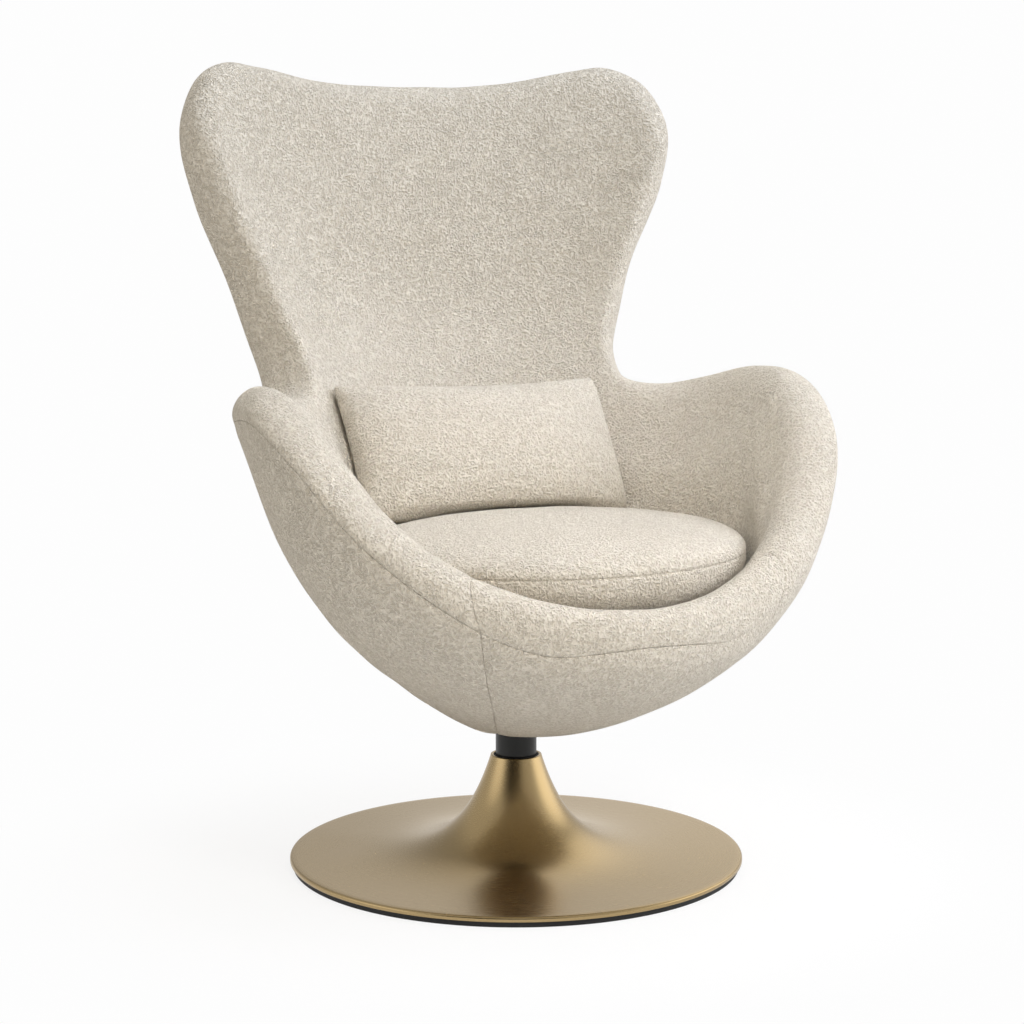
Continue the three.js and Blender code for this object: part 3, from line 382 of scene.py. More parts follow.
class Columns:
    """The pod's columns: `around` runs 0 front to 1 back on +X, and on to 2 front on -X."""

    def __init__(self, around):
        around = np.mod(around, 2)
        self.side = np.where(around <= 1, 1.0, -1.0)
        share = np.where(around <= 1, around, 2 - around)
        self.start, self.end, self.crest_height = np.moveaxis(read_rim(share), -1, 0)
        self.front = 1 - smooth_step(self.start, *RAIL_TO_ARM_SHARES)
        self.back = smooth_step(self.start, *ARM_TO_WING_SHARES)
        self.thickness = self.blend(THICKNESS)
        self.rise = self.blend(ROLL_RISE)
        self.skew = self.back * WING_SKEW
        zero = np.zeros_like(share)
        self.crest_level = solve(zero, zero + TOP_LEVEL, self.crest_height, height_share)
        self.crest = pod_point(self.end, self.side, self.crest_level)
        self.roll_level = solve(zero, self.crest_level, -self.rise, self.from_crest)
        self.inner_level = solve(zero, self.crest_level, self.skew - self.rise, self.from_crest)
        self.roll_start = self.outside(self.roll_level)
        self.roll_thickness = self.thickness_at(self.roll_level)
        self.inward = self.inward_at(self.roll_level)
        onward = self.crest - self.roll_start
        onward -= self.inward * np.sum(onward * self.inward, axis=-1, keepdims=True)
        self.onward = unit(onward)
        deck_foot = DECK_HEIGHT - LINER_THICKNESS
        self.deck_level = solve(zero, self.roll_level, deck_foot, self.inside_height)
        self.foam_level = solve(zero, self.deck_level, FOAM_FLOOR, self.foam_height)

    def blend(self, values):
        """A value for the rail, the arms and the wings, blended between them."""
        rail, arm, wing = values
        return arm + self.front * (rail - arm) + self.back * (wing - arm)

    def turn(self, level):
        start = SWING_START_SHARE * TOP_LEVEL
        swing = np.maximum(level - start, 0) / np.maximum(self.crest_level - start, LEAST_SPAN)
        return self.start + (self.end - self.start) * np.minimum(swing, 1) ** SWING_POWER

    def thickness_at(self, level):
        height = height_share(level)
        low = 1 - smooth_step(height, *LUMBAR_HEIGHT_SHARES)
        seat = (1 - self.front) * (1 - smooth_step(height, *SEAT_HEIGHT_SHARES))
        risen = smooth_step(height, *FULLNESS_HEIGHT_SHARES)
        full_end, roll_end = (self.crest_height - share for share in FULLNESS_BELOW_CREST_SHARES)
        held = 1 - smooth_step(height, full_end, roll_end)
        arm = (1 - self.front) * (1 - self.back) * risen * held
        change = self.back * low * LUMBAR_FILL - seat * SEAT_THINNING + arm * ARM_FULLNESS
        return self.thickness + change

    def outside(self, level):
        return pod_point(self.turn(level), self.side, level)

    def inward_at(self, level):
        return inward_normal(self.turn(level), self.side, level)

    def surface(self, level, depth):
        """Points at a level, so deep below the outer surface."""
        return self.outside(level) + self.inward_at(level) * np.asarray(depth)[..., None]

    def from_crest(self, level):
        """Minus the distance to the crest, which rises with the level."""
        return -np.linalg.norm(self.outside(level) - self.crest, axis=-1)

    def inside_height(self, level):
        return self.surface(level, self.thickness_at(level))[..., 2]

    def foam_height(self, level):
        return self.surface(level, FOAM_BACK)[..., 2]

    def rim(self, angle):
        """The rim's slanted half-ellipse: angle 0 on the outer shoulder, pi on the inner one."""
        half = self.roll_thickness / 2
        bulge = np.sqrt((self.rise - self.skew / 2) ** 2 - (self.skew / 2) ** 2)
        across = (half * (1 - np.cos(angle)))[..., None]
        along = (bulge * np.sin(angle) + self.skew / 2 * (1 - np.cos(angle)))[..., None]
        return self.roll_start + self.inward * across + self.onward * along

    def rim_inward(self, angle):
        """The rim's inward direction, near its outer shoulder."""
        across = (np.cos(angle) * self.rise)[..., None]
        along = (np.sin(angle) * self.roll_thickness / 2)[..., None]
        return unit(self.inward * across - self.onward * along)


def run_lengths(path):
    """How far along its column each point of a path (rows, columns, 3 or more) lies."""
    steps = np.linalg.norm(np.diff(path[..., :3], axis=0), axis=-1)
    return np.concatenate([np.zeros((1, path.shape[1])), np.cumsum(steps, axis=0)])


def read_path(path, lengths, targets):
    """A path's points, and what comes with them, at other lengths along its columns."""
    out = np.empty((len(targets), *path.shape[1:]))
    for i in range(path.shape[1]):
        for c in range(path.shape[2]):
            out[:, i, c] = np.interp(targets[:, i], lengths[:, i], path[:, i, c])
    return out


def resample(path, count_inner):
    """A path's points at even distances, with closer ones by its two ends, how far along each
    lies, and the whole length."""
    lengths = run_lengths(path)
    total = lengths[-1]
    near = SEAM_STEPS[:, None] + 0 * total
    far = total - SEAM_STEPS[::-1, None]
    middle = np.linspace(near[-1], far[0], count_inner + 2)[1:-1]
    targets = np.concatenate([near, middle, far])
    return read_path(path, lengths, targets), targets, total


def relax(path, times):
    """Softens the kinks of a path (rows, columns, 3), and keeps its ends."""
    for _ in range(times):
        path[1:-1] = path[:-2] / 4 + path[1:-1] / 2 + path[2:] / 4
    return path


def grid_normals(grid):
    """Normals of a grid (rows, columns, 3) whose rows close on themselves."""
    down = np.gradient(grid, axis=0)
    across = (np.roll(grid, -1, axis=1) - np.roll(grid, 1, axis=1)) / 2
    return unit(np.cross(across, down))


# Meshes

def closed_mesh(name, points, quads, material, body, fans=np.empty((0, 3), int)):
    """A closed form of quads and any fans of triangles, turned over if it is inside out."""
    points = points.reshape(-1, 3)
    a, b, c, d = (points[quads[:, i]] for i in range(4))
    faces = quads.tolist() + fans.tolist()
    if np.sum(a * (np.cross(b, c) + np.cross(c, d))) < 0:
        faces = [face[::-1] for face in faces]
    mesh = bpy.data.meshes.new(name)
    mesh.from_pydata(points.tolist(), [], faces)
    mesh.polygons.foreach_set("use_smooth", [True] * len(mesh.polygons))
    mesh.update()
    mesh.materials.append(material)
    piece = bpy.data.objects.new(name, mesh)
    bpy.context.scene.collection.objects.link(piece)
    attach(piece, body)
    return piece


def grid_faces(rows, columns, wrap_rows=False, wrap_columns=False):
    """Quads of a grid of rows x columns points, row by row."""
    r = np.arange(rows if wrap_rows else rows - 1)[:, None]
    c = np.arange(columns if wrap_columns else columns - 1)[None, :]
    r2, c2 = (r + 1) % rows, (c + 1) % columns
    corners = ((r, c), (r, c2), (r2, c2), (r2, c))
    return np.stack([(row * columns + column).ravel() for row, column in corners], axis=1)


def sheet_solid(name, face, back, material, body):
    """A closed cloth panel from its face and its back, two grids (rows, columns, 3)."""
    rows, columns = face.shape[:2]
    count = rows * columns
    top = grid_faces(rows, columns)
    index = np.arange(count).reshape(rows, columns)
    edges = (index[0], index[-1, ::-1], index[::-1, 0], index[:, -1])
    sides = [np.stack([e[1:], e[:-1], e[:-1] + count, e[1:] + count], axis=1) for e in edges]
    points = np.concatenate([face.reshape(-1, 3), back.reshape(-1, 3)])
    quads = np.concatenate([top, top[:, ::-1] + count, *sides])
    return closed_mesh(name, points, quads, material, body)


def loop_solid(name, grid, material, body):
    """A closed form from a grid that closes on itself both ways."""
    quads = grid_faces(*grid.shape[:2], wrap_rows=True, wrap_columns=True)
    return closed_mesh(name, grid, quads, material, body)


def poled_solid(name, grid, heights, material, body):
    """A closed form from a wrapped grid, with fans from its end rows to middle points."""
    rows, columns = grid.shape[:2]
    middles = [[*grid[i, :, :2].mean(axis=0), height] for i, height in zip((0, -1), heights)]
    points = np.concatenate([grid.reshape(-1, 3), middles])
    quads = grid_faces(rows, columns, wrap_columns=True)
    ring = np.arange(columns)
    onward = (ring + 1) % columns
    last, middle = (rows - 1) * columns, 0 * ring + rows * columns
    fans = [(onward, ring, middle), (last + ring, last + onward, middle + 1)]
    fans = np.concatenate([np.stack(fan, axis=1) for fan in fans])
    return closed_mesh(name, points, quads, material, body, fans)


def softened(profile, radius):
    """A closed profile with each corner rounded off."""
    points = [np.array(p, dtype=float) for p in profile]
    out = []
    for i, p in enumerate(points):
        into, on = p - points[i - 1], points[(i + 1) % len(points)] - p
        shorter = min(np.linalg.norm(into), np.linalg.norm(on))
        reach = min(radius, shorter / CORNER_SIDE_PARTS)
        into, on = unit(into) * reach, unit(on) * reach
        a, b = p - into, p + on
        out.append(a - into * CORNER_HOLD_SHARE)
        for t in np.linspace(0, 1, CORNER_STEPS):
            out.append(a * (1 - t) ** 2 + p * 2 * t * (1 - t) + b * t * t)
        out.append(b + on * CORNER_HOLD_SHARE)
    return out


def turned(name, profile, material, body, segments):
    """A turned piece from a closed profile of (radius, height) points."""
    profile = np.array(profile)
    angle = np.linspace(0, 2 * np.pi, segments, endpoint=False)
    radius, height = profile[:, 0, None], profile[:, 1, None]
    grid = np.stack([radius * np.cos(angle), radius * np.sin(angle), height + 0 * angle], axis=-1)
    return loop_solid(name, grid, material, body)


# Materials

class Nodes:
    """A node tree, and short ways to add to it."""

    def __init__(self, tree):
        self.tree = tree

    def add(self, kind, inputs=(), **settings):
        node = self.tree.nodes.new(kind)
        for key, value in settings.items():
            setattr(node, key, value)
        for key, value in dict(inputs).items():
            self.link(value, node.inputs[key])
        return node

    def link(self, value, socket):
        if isinstance(value, bpy.types.NodeSocket):
            self.tree.links.new(value, socket)
        else:
            socket.default_value = value

    def math(self, operation, *values):
        return self.add("ShaderNodeMath", enumerate(values), operation=operation).outputs[0]

    def length(self, x, y):
        squares = (self.math("MULTIPLY", side, side) for side in (x, y))
        return self.math("SQRT", self.math("ADD", *squares))

    def eased(self, value, *ends):
        """A value that eases from one level to another between two places."""
        inputs = dict(zip(("From Min", "From Max", "To Min", "To Max"), ends))
        inputs["Value"] = value
        return self.add("ShaderNodeMapRange", inputs, interpolation_type="SMOOTHSTEP").outputs[0]

    def mix(self, factor, a, b, blend="MIX"):
        inputs = {"Factor": factor, 6: a, 7: b}
        node = self.add("ShaderNodeMix", inputs, data_type="RGBA", blend_type=blend)
        return node.outputs[2]


class Shader(Nodes):
    """A material's node tree, with a principled shader at its end."""

    def __init__(self, name):
        self.material = bpy.data.materials.new(name)
        self.material.use_nodes = True
        super().__init__(self.material.node_tree)
        self.shader = self.tree.nodes["Principled BSDF"]
        self.coordinates = self.add("ShaderNodeTexCoord").outputs["Object"]

    def finish(self, **inputs):
        """The material, with these inputs of its shader set or linked."""
        sockets = {socket.name.lower().replace(" ", "_"): socket for socket in self.shader.inputs}
        for key, value in inputs.items():
            self.link(value, sockets[key])
        return self.material

    def split(self):
        return self.add("ShaderNodeSeparateXYZ", {0: self.coordinates}).outputs

    def joined(self, x, y, z):
        return self.add("ShaderNodeCombineXYZ", {0: x, 1: y, 2: z}).outputs[0]

    def vector_math(self, operation, a, b):
        key = "Scale" if operation == "SCALE" else 1
        return self.add("ShaderNodeVectorMath", {0: a, key: b}, operation=operation).outputs[0]

    def noise(self, scale, detail=2.0, roughness=0.5, at=None, output="Fac"):
        at = self.coordinates if at is None else at
        inputs = {"Vector": at, "Scale": scale, "Detail": detail, "Roughness": roughness}
        return self.add("ShaderNodeTexNoise", inputs).outputs[output]

    def ramp(self, value, *stops):
        node = self.add("ShaderNodeValToRGB", {"Fac": value})
        elements = node.color_ramp.elements
        for element, (place, color) in zip(elements, stops):
            element.position = place
            element.color = (*color, 1)
        return node.outputs["Color"]

    def bump(self, height, strength, distance):
        inputs = {"Strength": strength, "Distance": distance, "Height": height}
        return self.add("ShaderNodeBump", inputs).outputs[0]


def boucle():
    """Cream boucle: short curled loops that lie over each other."""
    s = Shader("boucle")
    drift = s.noise(LOOP_WARP_SCALE, detail=1.0, output="Color")
    drift = s.vector_math("SUBTRACT", drift, (0.5, 0.5, 0.5))
    warped = s.vector_math("ADD", s.coordinates, s.vector_math("SCALE", drift, LOOP_WARP))
    layers = []
    for shift in LOOP_LAYERS:
        field = s.noise(LOOP_SCALE, detail=0.0, at=s.vector_math("ADD", warped, shift))
        wave = s.math("SINE", s.math("MULTIPLY", field, 2 * math.pi * LOOP_TURNS))
        layers.append(s.math("MULTIPLY_ADD", wave, 0.5, 0.5))
    loops = s.math("MULTIPLY", s.math("ADD", *layers), 0.5)
    fibre = s.noise(scale=1300, detail=3.0, roughness=0.6)
    height = s.math("ADD", loops, s.math("MULTIPLY", fibre, FIBRE_SHARE))
    tone = s.ramp(s.noise(scale=9, detail=3.0), *PATCH_TONES)
    return s.finish(
        # The base colour holds painted shade in the loops' hollows and painted highlight on their
        # crests, times random patches
        base_color=s.mix(1.0, s.ramp(loops, *LOOP_PAINTED_SHADE_COLORS), tone, "MULTIPLY"),
        roughness=0.92,
        sheen_weight=0.2,
        sheen_roughness=0.5,
        normal=s.bump(height, strength=1.0, distance=LOOP_HEIGHT),
        specular_ior_level=0.2,
    )


def lining():
    """A dark woven lining under the cushion."""
    s = Shader("lining")
    inputs = {"Vector": s.coordinates, "Scale": 190.0}
    waves = (s.add("ShaderNodeTexWave", inputs, bands_direction=axis) for axis in "XY")
    weave = s.math("MULTIPLY", *(wave.outputs["Fac"] for wave in waves))
    return s.finish(
        base_color=s.ramp(weave, (0.0, (0.012, 0.012, 0.012)), (1.0, (0.05, 0.048, 0.045))),
        roughness=0.9,
        normal=s.bump(weave, strength=0.6, distance=0.0006),
    )


def brushed_brass():
    """Satin brass, brushed in rings round the axis."""
    s = Shader("brushed_brass")
    x, y, z = s.split()
    around = s.math("MULTIPLY", s.math("ARCTAN2", y, x), 0.004)
    at = s.joined(s.length(x, y), around, z)
    streaks = s.noise(scale=2600, detail=3.0, roughness=0.6, at=at)
    clouds = s.noise(scale=12)
    streaked = s.math("MULTIPLY_ADD", streaks, 0.08, 0.20)
    return s.finish(
        base_color=s.mix(streaks, (0.37, 0.265, 0.125, 1), (0.45, 0.335, 0.175, 1)),
        metallic=1.0,
        roughness=s.math("MULTIPLY_ADD", clouds, 0.05, streaked),
        normal=s.bump(streaks, strength=0.06, distance=0.0002),
        anisotropic=0.55,
        tangent=s.add("ShaderNodeTangent", direction_type="RADIAL", axis="Z").outputs[0],
    )


def plain(name, low, high, roughness, metallic=0.0, scale=400.0, bump=0.15):
    """A finish with a fine grain between two colours."""
    s = Shader(name)
    grain = s.noise(scale, detail=4.0, roughness=0.6)
    return s.finish(
        base_color=s.mix(grain, (*low, 1), (*high, 1)),
        metallic=metallic,
        roughness=s.math("MULTIPLY_ADD", grain, 0.12, roughness - 0.06),
        normal=s.bump(grain, bump, distance=0.0003),
    )


def plywood():
    s = Shader("plywood")
    x, y, z = s.split()
    at = s.joined(s.math("MULTIPLY", x, 6.0), y, z)
    grain = s.noise(scale=30, detail=4.0, roughness=0.6, at=at)
    return s.finish(
        base_color=s.ramp(grain, (0.3, (0.44, 0.28, 0.14)), (0.7, (0.66, 0.47, 0.27))),
        roughness=0.6,
        normal=s.bump(grain, strength=0.2, distance=0.0005),
    )


# The pod's upholstery

def panel_columns(low, high):
    """Column places from low to high, about a grid step apart along the rim's crest."""
    fine = np.linspace(low, high, SHARE_SAMPLES)
    run = run_lengths(Columns(fine).crest[:, None])[:, 0]
    count = int(np.ceil(run[-1] / GRID_STEP))
    return np.interp(np.linspace(0, run[-1], count + 1), run, fine)


def swell(points, height):
    """The unevenness of foam and cloth: a few slow waves across each other."""
    waves = (
        np.sin(points @ (np.array(way) * 2 * np.pi / length) + phase)
        for way, length, phase in SWELL_WAVES
    )
    return height * sum(waves) / len(SWELL_WAVES)


def seam_depth(distance):
    """How deep cloth lies at a distance from its seam."""
    into = np.clip(SEAM_ROUND - distance, 0, SEAM_ROUND)
    edge = SEAM_ROUND - np.sqrt(SEAM_ROUND ** 2 - into ** 2)
    return edge + VALLEY_DEPTH * np.exp(-(distance / VALLEY_REACH) ** 2)


def from_front(places):
    """How far round a place is from the front's middle, 0 to 1 on both sides."""
    return np.abs((places + 1) % 2 - 1)


def seam_lift(places):
    """The rim's angle at which the outer cover ends."""
    share = np.minimum(from_front(places) / RAIL_SEAM_SHARE, 1)
    return RAIL_SEAM_LIFT * np.cos(np.pi / 2 * share) ** 2


def drifted(places, share):
    """Places at a share of the height: lower down, the rail's seams lie further round."""
    seam = RAIL_SEAM_SHARE + RAIL_SEAM_DRIFT * (1 - share)
    away = from_front(places)
    before = away * seam / RAIL_SEAM_SHARE
    behind = 1 - (1 - away) * (1 - seam) / (1 - RAIL_SEAM_SHARE)
    side = np.where(places % 2 <= 1, 1, -1)
    return side * np.where(away <= RAIL_SEAM_SHARE, before, behind)


def outer_panel(name, low, high, node):
    """An outer cover between two seams, from the pod's foot to the seam under the rim."""
    places = panel_columns(low, high)
    share = np.linspace(0, 1, WALL_SAMPLES)[:, None]
    slanted = Columns(drifted(places, share))
    level = share * slanted.roll_level
    wall = np.concatenate([slanted.outside(level), slanted.inward_at(level)], axis=-1)
    columns = Columns(places)
    angle = np.linspace(0, seam_lift(places), RIM_SAMPLES)[1:]
    rim = np.concatenate([columns.rim(angle), columns.rim_inward(angle)], axis=-1)
    path = np.concatenate([wall, rim])
    rows = int(np.ceil(run_lengths(path)[-1].max() / GRID_STEP))
    grid, up_to, height = resample(path, rows)
    grid, across, width = resample(grid.swapaxes(0, 1), grid.shape[1] - 2)
    grid, across = grid.swapaxes(0, 1), across.T
    to_rim = (height - up_to).mean(axis=1)[:, None]
    to_side = np.minimum(across, width[:, None] - across)
    depth = np.maximum(seam_depth(to_rim), seam_depth(to_side))
    points, inward = grid[..., :3], unit(grid[..., 3:])
    uneven = swell(points, SWELL) * smooth_step(np.minimum(to_rim, to_side), *SWELL_FADE)
    face = points + inward * (depth - uneven)[..., None]
    back = points + inward * COVER_THICKNESS
    piece = sheet_solid(name, face, back, BOUCLE, "pod")
    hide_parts(node)


def crest_speed(place):
    """How far along the crest one whole unit of `around` would go, near a place."""
    low, high = Columns(np.array([place - CREST_STEP, place + CREST_STEP])).crest
    return np.linalg.norm(high - low) / (2 * CREST_STEP)


def beside_seams(places, seams, speed):
    """The places, with close ones added beside each seam for its groove."""
    away = np.abs(places[:, None] - seams).min(axis=1) * speed
    offsets = np.concatenate([-SEAM_STEPS[::-1], [0], SEAM_STEPS]) / speed
    kept = places[away > BESIDE_SEAM]
    return np.sort(np.concatenate([kept, *(seam + offsets for seam in seams)]))


def pod_lining(seat):
    """The inside pad, foam and cover, from the outer seam over the rim down to the deck."""
    seams = np.array([RAIL_SEAM_SHARE, 2 - RAIL_SEAM_SHARE])
    speed = crest_speed(RAIL_SEAM_SHARE)
    places = beside_seams(panel_columns(0, 2)[:-1], seams, speed)
    from_seam = np.abs(places[:, None] - seams).min(axis=1) * speed
    columns = Columns(places)
    lift = seam_lift(places)
    rim = columns.rim(np.linspace(lift, np.pi, PATH_SAMPLES))
    level = np.linspace(columns.inner_level, columns.deck_level, PATH_SAMPLES)
    wall = columns.surface(level, columns.thickness_at(level))
    path = np.concatenate([rim, wall[1:]])
    lengths = run_lengths(path)
    along = np.linspace(0, lengths[-1], SHOULDER_ROWS)
    path = read_path(path, lengths, along)
    arm_ends, wing_ends = SHOULDER_SHARES
    rim_length = run_lengths(rim)[-1]
    low, high = (rim_length * (a + columns.back * (b - a)) for a, b in zip(arm_ends, wing_ends))
    wing_path = relax(path.copy(), WING_PASSES)
    soft = relax(path.copy(), SHOULDER_PASSES)
    soft += (wing_path - soft) * columns.back[:, None]
    path += (soft - path) * smooth_step(along, low, high)[..., None]
    rows = int(np.ceil(run_lengths(path)[-1].max() / GRID_STEP))
    face, along, _ = resample(path, rows)
    normal = grid_normals(face)
    uneven = swell(face, SWELL) * smooth_step(np.minimum(along, from_seam), *SWELL_FADE)
    depth = np.maximum(seam_depth(along), seam_depth(from_seam))
    face = face + normal * (uneven - depth)[..., None]
    face = pressed_clear(face.reshape(-1, 3), seat).reshape(face.shape)
    back = columns.surface(
        np.linspace(columns.deck_level, columns.roll_level, BACK_ROWS), FOAM_BACK)
    start, into = columns.rim(lift), columns.rim_inward(lift)
    start = start + columns.onward * SEAM_STEPS[1]
    edge = [start + into * depth for depth in (EDGE_DEPTH, SEAM_ROUND)]
    grid = np.concatenate([face, back, edge])
    piece = loop_solid("pod_lining", grid, BOUCLE, "pod")
    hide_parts("liner_cover", "inner_foam")
    return piece


def seat_deck():
    """The dark cloth deck at the bottom of the bowl, flat with a rounded edge."""
    columns = Columns(panel_columns(0, 2)[:-1:2])
    edge = columns.surface(columns.deck_level, columns.thickness_at(columns.deck_level))
    reach = np.linalg.norm(edge[:, :2], axis=-1, keepdims=True)
    outline = edge[:, :2] * (1 - DECK_EDGE_GAP / reach)
    share = np.linspace(0, 1, DECK_ROWS)[1:, None, None]
    height = DECK_HEIGHT - SEAM_ROUND * smooth_step(share, *DECK_ROUND_SHARES)
    top = np.concatenate([outline * share, height + 0 * outline[None, :, :1]], axis=-1)
    wall = columns.surface(
        np.linspace(columns.deck_level, columns.foam_level, DECK_WALL_ROWS), FOAM_BACK)
    grid = np.concatenate([top, wall])
    piece = poled_solid("seat_deck", grid, (DECK_HEIGHT, wall[-1, :, 2].mean()), LINING, "pod")
    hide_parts("deck_cover", "deck_foam")


# The seat cushion

def crown_profile(height, power):
    """Half of the cushion's section, seam to pole: how far out, how high and how far along."""
    angle = np.linspace(0, np.pi / 2, CROWN_SAMPLES)
    out = np.cos(angle) ** (2 / power)
    up = height * np.sin(angle) ** (2 / power)
    run = np.concatenate([[0], np.cumsum(np.hypot(np.diff(out * CUSHION_WIDTH / 2), np.diff(up)))])
    rows = int(run[-1] / GRID_STEP)
    start = SEAM_STEPS[-1] + CUSHION_ROW_GAP
    at = np.concatenate([SEAM_STEPS, np.linspace(start, run[-1] * POLE_SHARE, rows)])
    return np.interp(at, run, out), np.interp(at, run, up), at


def seat_cushion():
    """The round cushion: a crown and a belly with a grooved seam between them."""
    around = np.linspace(0, 2 * np.pi, CUSHION_COLUMNS, endpoint=False)
    ahead = np.cos(around)
    depth = np.where(ahead > 0, CUSHION_FRONT_REACH, CUSHION_BACK_REACH)
    rows = []
    for height, power, sign in ((CUSHION_CROWN, CROWN_POWER, 1), (CUSHION_BELLY, BELLY_POWER, -1)):
        out, up, distance = crown_profile(height, power)
        groove = CUSHION_GROOVE * np.exp(-(distance / CUSHION_GROOVE_REACH) ** 2)
        inset = (groove + CUSHION_VALLEY * np.exp(-(distance / VALLEY_REACH) ** 2))[:, None]
        out = out[:, None]
        row = np.stack([
            out * np.sin(around) * (CUSHION_WIDTH / 2 - inset),
            -out * ahead * (depth - inset) - CUSHION_SHIFT,
            CUSHION_SEAM + sign * up[:, None] + 0 * around,
        ], axis=-1)
        rows.append(row[::-1] if sign > 0 else row[1:])
    grid = np.concatenate(rows)
    fade = smooth_step(np.abs(grid[..., 2:] - CUSHION_SEAM), *CUSHION_SWELL_FADE)
    grid = grid - grid_normals(grid) * (swell(grid, CUSHION_SWELL)[..., None] * fade)
    heights = grid[0, :, 2].mean(), grid[-1, :, 2].mean()
    piece = poled_solid("seat_cushion", grid, heights, BOUCLE, "cushion")
    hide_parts("cushion_top_cover", "cushion_core", "cushion_bottom_cover")
    return piece


# The lumbar pillow

def pillow_grid():
    """Two faces sewn round the edge: points, quads, and which points lie on the seam."""
    sides = (np.linspace(-1, 1, count) for count in (PILLOW_COLUMNS, PILLOW_ROWS))
    u, v = np.meshgrid(*sides, indexing="ij")
    filled = (1 - u * u) * (1 - v * v)
    half = PILLOW_EDGE + (PILLOW_THICKNESS / 2 - PILLOW_EDGE) * filled ** PUFF_POWER
    power = PILLOW_CORNER_POWER
    reach = (np.abs(u) ** power + np.abs(v) ** power) ** (1 / power)
    corner = np.maximum(np.abs(u), np.abs(v)) / np.maximum(reach, TINY)
    edge_pinch = np.where(v > 0, PILLOW_TOP_PINCH, PILLOW_FOOT_PINCH)
    x = PILLOW_WIDTH / 2 * (u * corner - PILLOW_SIDE_PINCH * u ** 3 * (1 - v ** 2))
    z = PILLOW_HEIGHT / 2 * (v * corner - edge_pinch * v ** 3 * (1 - u ** 2))
    edge = (np.abs(u) == 1) | (np.abs(v) == 1)
    front = np.stack([x, np.where(edge, 0, -half), z], axis=-1).reshape(-1, 3)
    back = np.stack([x, half, z], axis=-1).reshape(-1, 3)
    inner = ~edge.ravel()
    back_index = np.arange(inner.size)
    back_index[inner] = inner.size + np.arange(inner.sum())
    quads = grid_faces(PILLOW_COLUMNS, PILLOW_ROWS)
    quads = np.concatenate([quads, back_index[quads][:, ::-1]])
    on_edge = np.pad(edge.ravel(), (0, inner.sum()))
    return np.concatenate([front, back[inner]]), quads, on_edge


def inflate(piece):
    """A sewn cover's points after a short cloth run that fills it."""
    cloth = piece.modifiers.new("fill", "CLOTH")
    for key, value in PILLOW_CLOTH.items():
        setattr(cloth.settings, key, value)
    cloth.settings.effector_weights.gravity = 0
    cloth.collision_settings.use_self_collision = False
    cloth.point_cache.frame_start, cloth.point_cache.frame_end = 1, SIMULATED_FRAMES
    scene = bpy.context.scene
    for number in range(1, SIMULATED_FRAMES + 1):
        scene.frame_set(number)
    shape = piece.evaluated_get(bpy.context.evaluated_depsgraph_get())
    points = np.array([v.co[:] for v in shape.data.vertices])
    piece.modifiers.clear()
    scene.frame_set(1)
    return points


def pressed_clear(points, piece):
    """Moves the points that lie in or against a neighbour out to a small gap from it."""
    vertices = [v.co for v in piece.data.vertices]
    tree = BVHTree.FromPolygons(vertices, [f.vertices for f in piece.data.polygons])
    moved = points.copy()
    for i, point in enumerate(points):
        place, normal, _, _ = tree.find_nearest(Vector(point))
        if (Vector(point) - place).dot(normal) < PRESSED_GAP:
            moved[i] = np.array(place + normal * PRESSED_GAP)
    return moved


def lumbar_pillow(*neighbours):
    """The pillow: filled by a cloth run, put in place and pressed clear of its neighbours."""
    points, quads, edge = pillow_grid()
    piece = closed_mesh("lumbar_pillow", points, quads, BOUCLE, "pillow")
    moved = inflate(piece) - points
    length = np.linalg.norm(moved, axis=-1, keepdims=True)
    points = points + moved * PILLOW_CAP / (PILLOW_CAP + length)
    size = np.array([
        PILLOW_WIDTH + PILLOW_SPREAD, PILLOW_THICKNESS, PILLOW_HEIGHT + PILLOW_RISE])
    points *= size / (points.max(axis=0) - points.min(axis=0))
    points[:, 2] += PILLOW_RISE / 2
    points = settled(points)
    for neighbour in neighbours:
        points = pressed_clear(points, neighbour)
    piece.data.vertices.foreach_set("co", points.astype(np.float32).ravel())
    piece.data.update()
    finer = piece.modifiers.new("finer", "SUBSURF")
    finer.levels = finer.render_levels = 2
    crease = piece.data.attributes.new("crease_edge", "FLOAT", "EDGE")
    on_seam = [edge[a] and edge[b] for a, b in (e.vertices for e in piece.data.edges)]
    crease.data.foreach_set("value", np.where(on_seam, PILLOW_CREASE, 0.0))
    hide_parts("pillow_front_cover", "pillow_back_cover", "pillow_filling")


def settled(points):
    """The pillow's points in place: its foot on the cushion's crown, leaning on the back."""
    x, y, z = points.T
    x, z = x + PILLOW_ROLL * z - PILLOW_ASIDE, z - PILLOW_ROLL * x
    sine, cosine = np.sin(PILLOW_LEAN), np.cos(PILLOW_LEAN)
    half = PILLOW_HEIGHT / 2
    share = (PILLOW_FOOT_BACK + CUSHION_SHIFT) / CUSHION_BACK_REACH
    crown = CUSHION_CROWN * (1 - share ** CROWN_POWER) ** (1 / CROWN_POWER)
    foot = CUSHION_SEAM + crown - PILLOW_DROP
    return np.stack([
        x,
        PILLOW_FOOT_BACK + half * sine + y * cosine + z * sine,
        foot + half * cosine - y * sine + z * cosine,
    ], axis=-1)


# The base

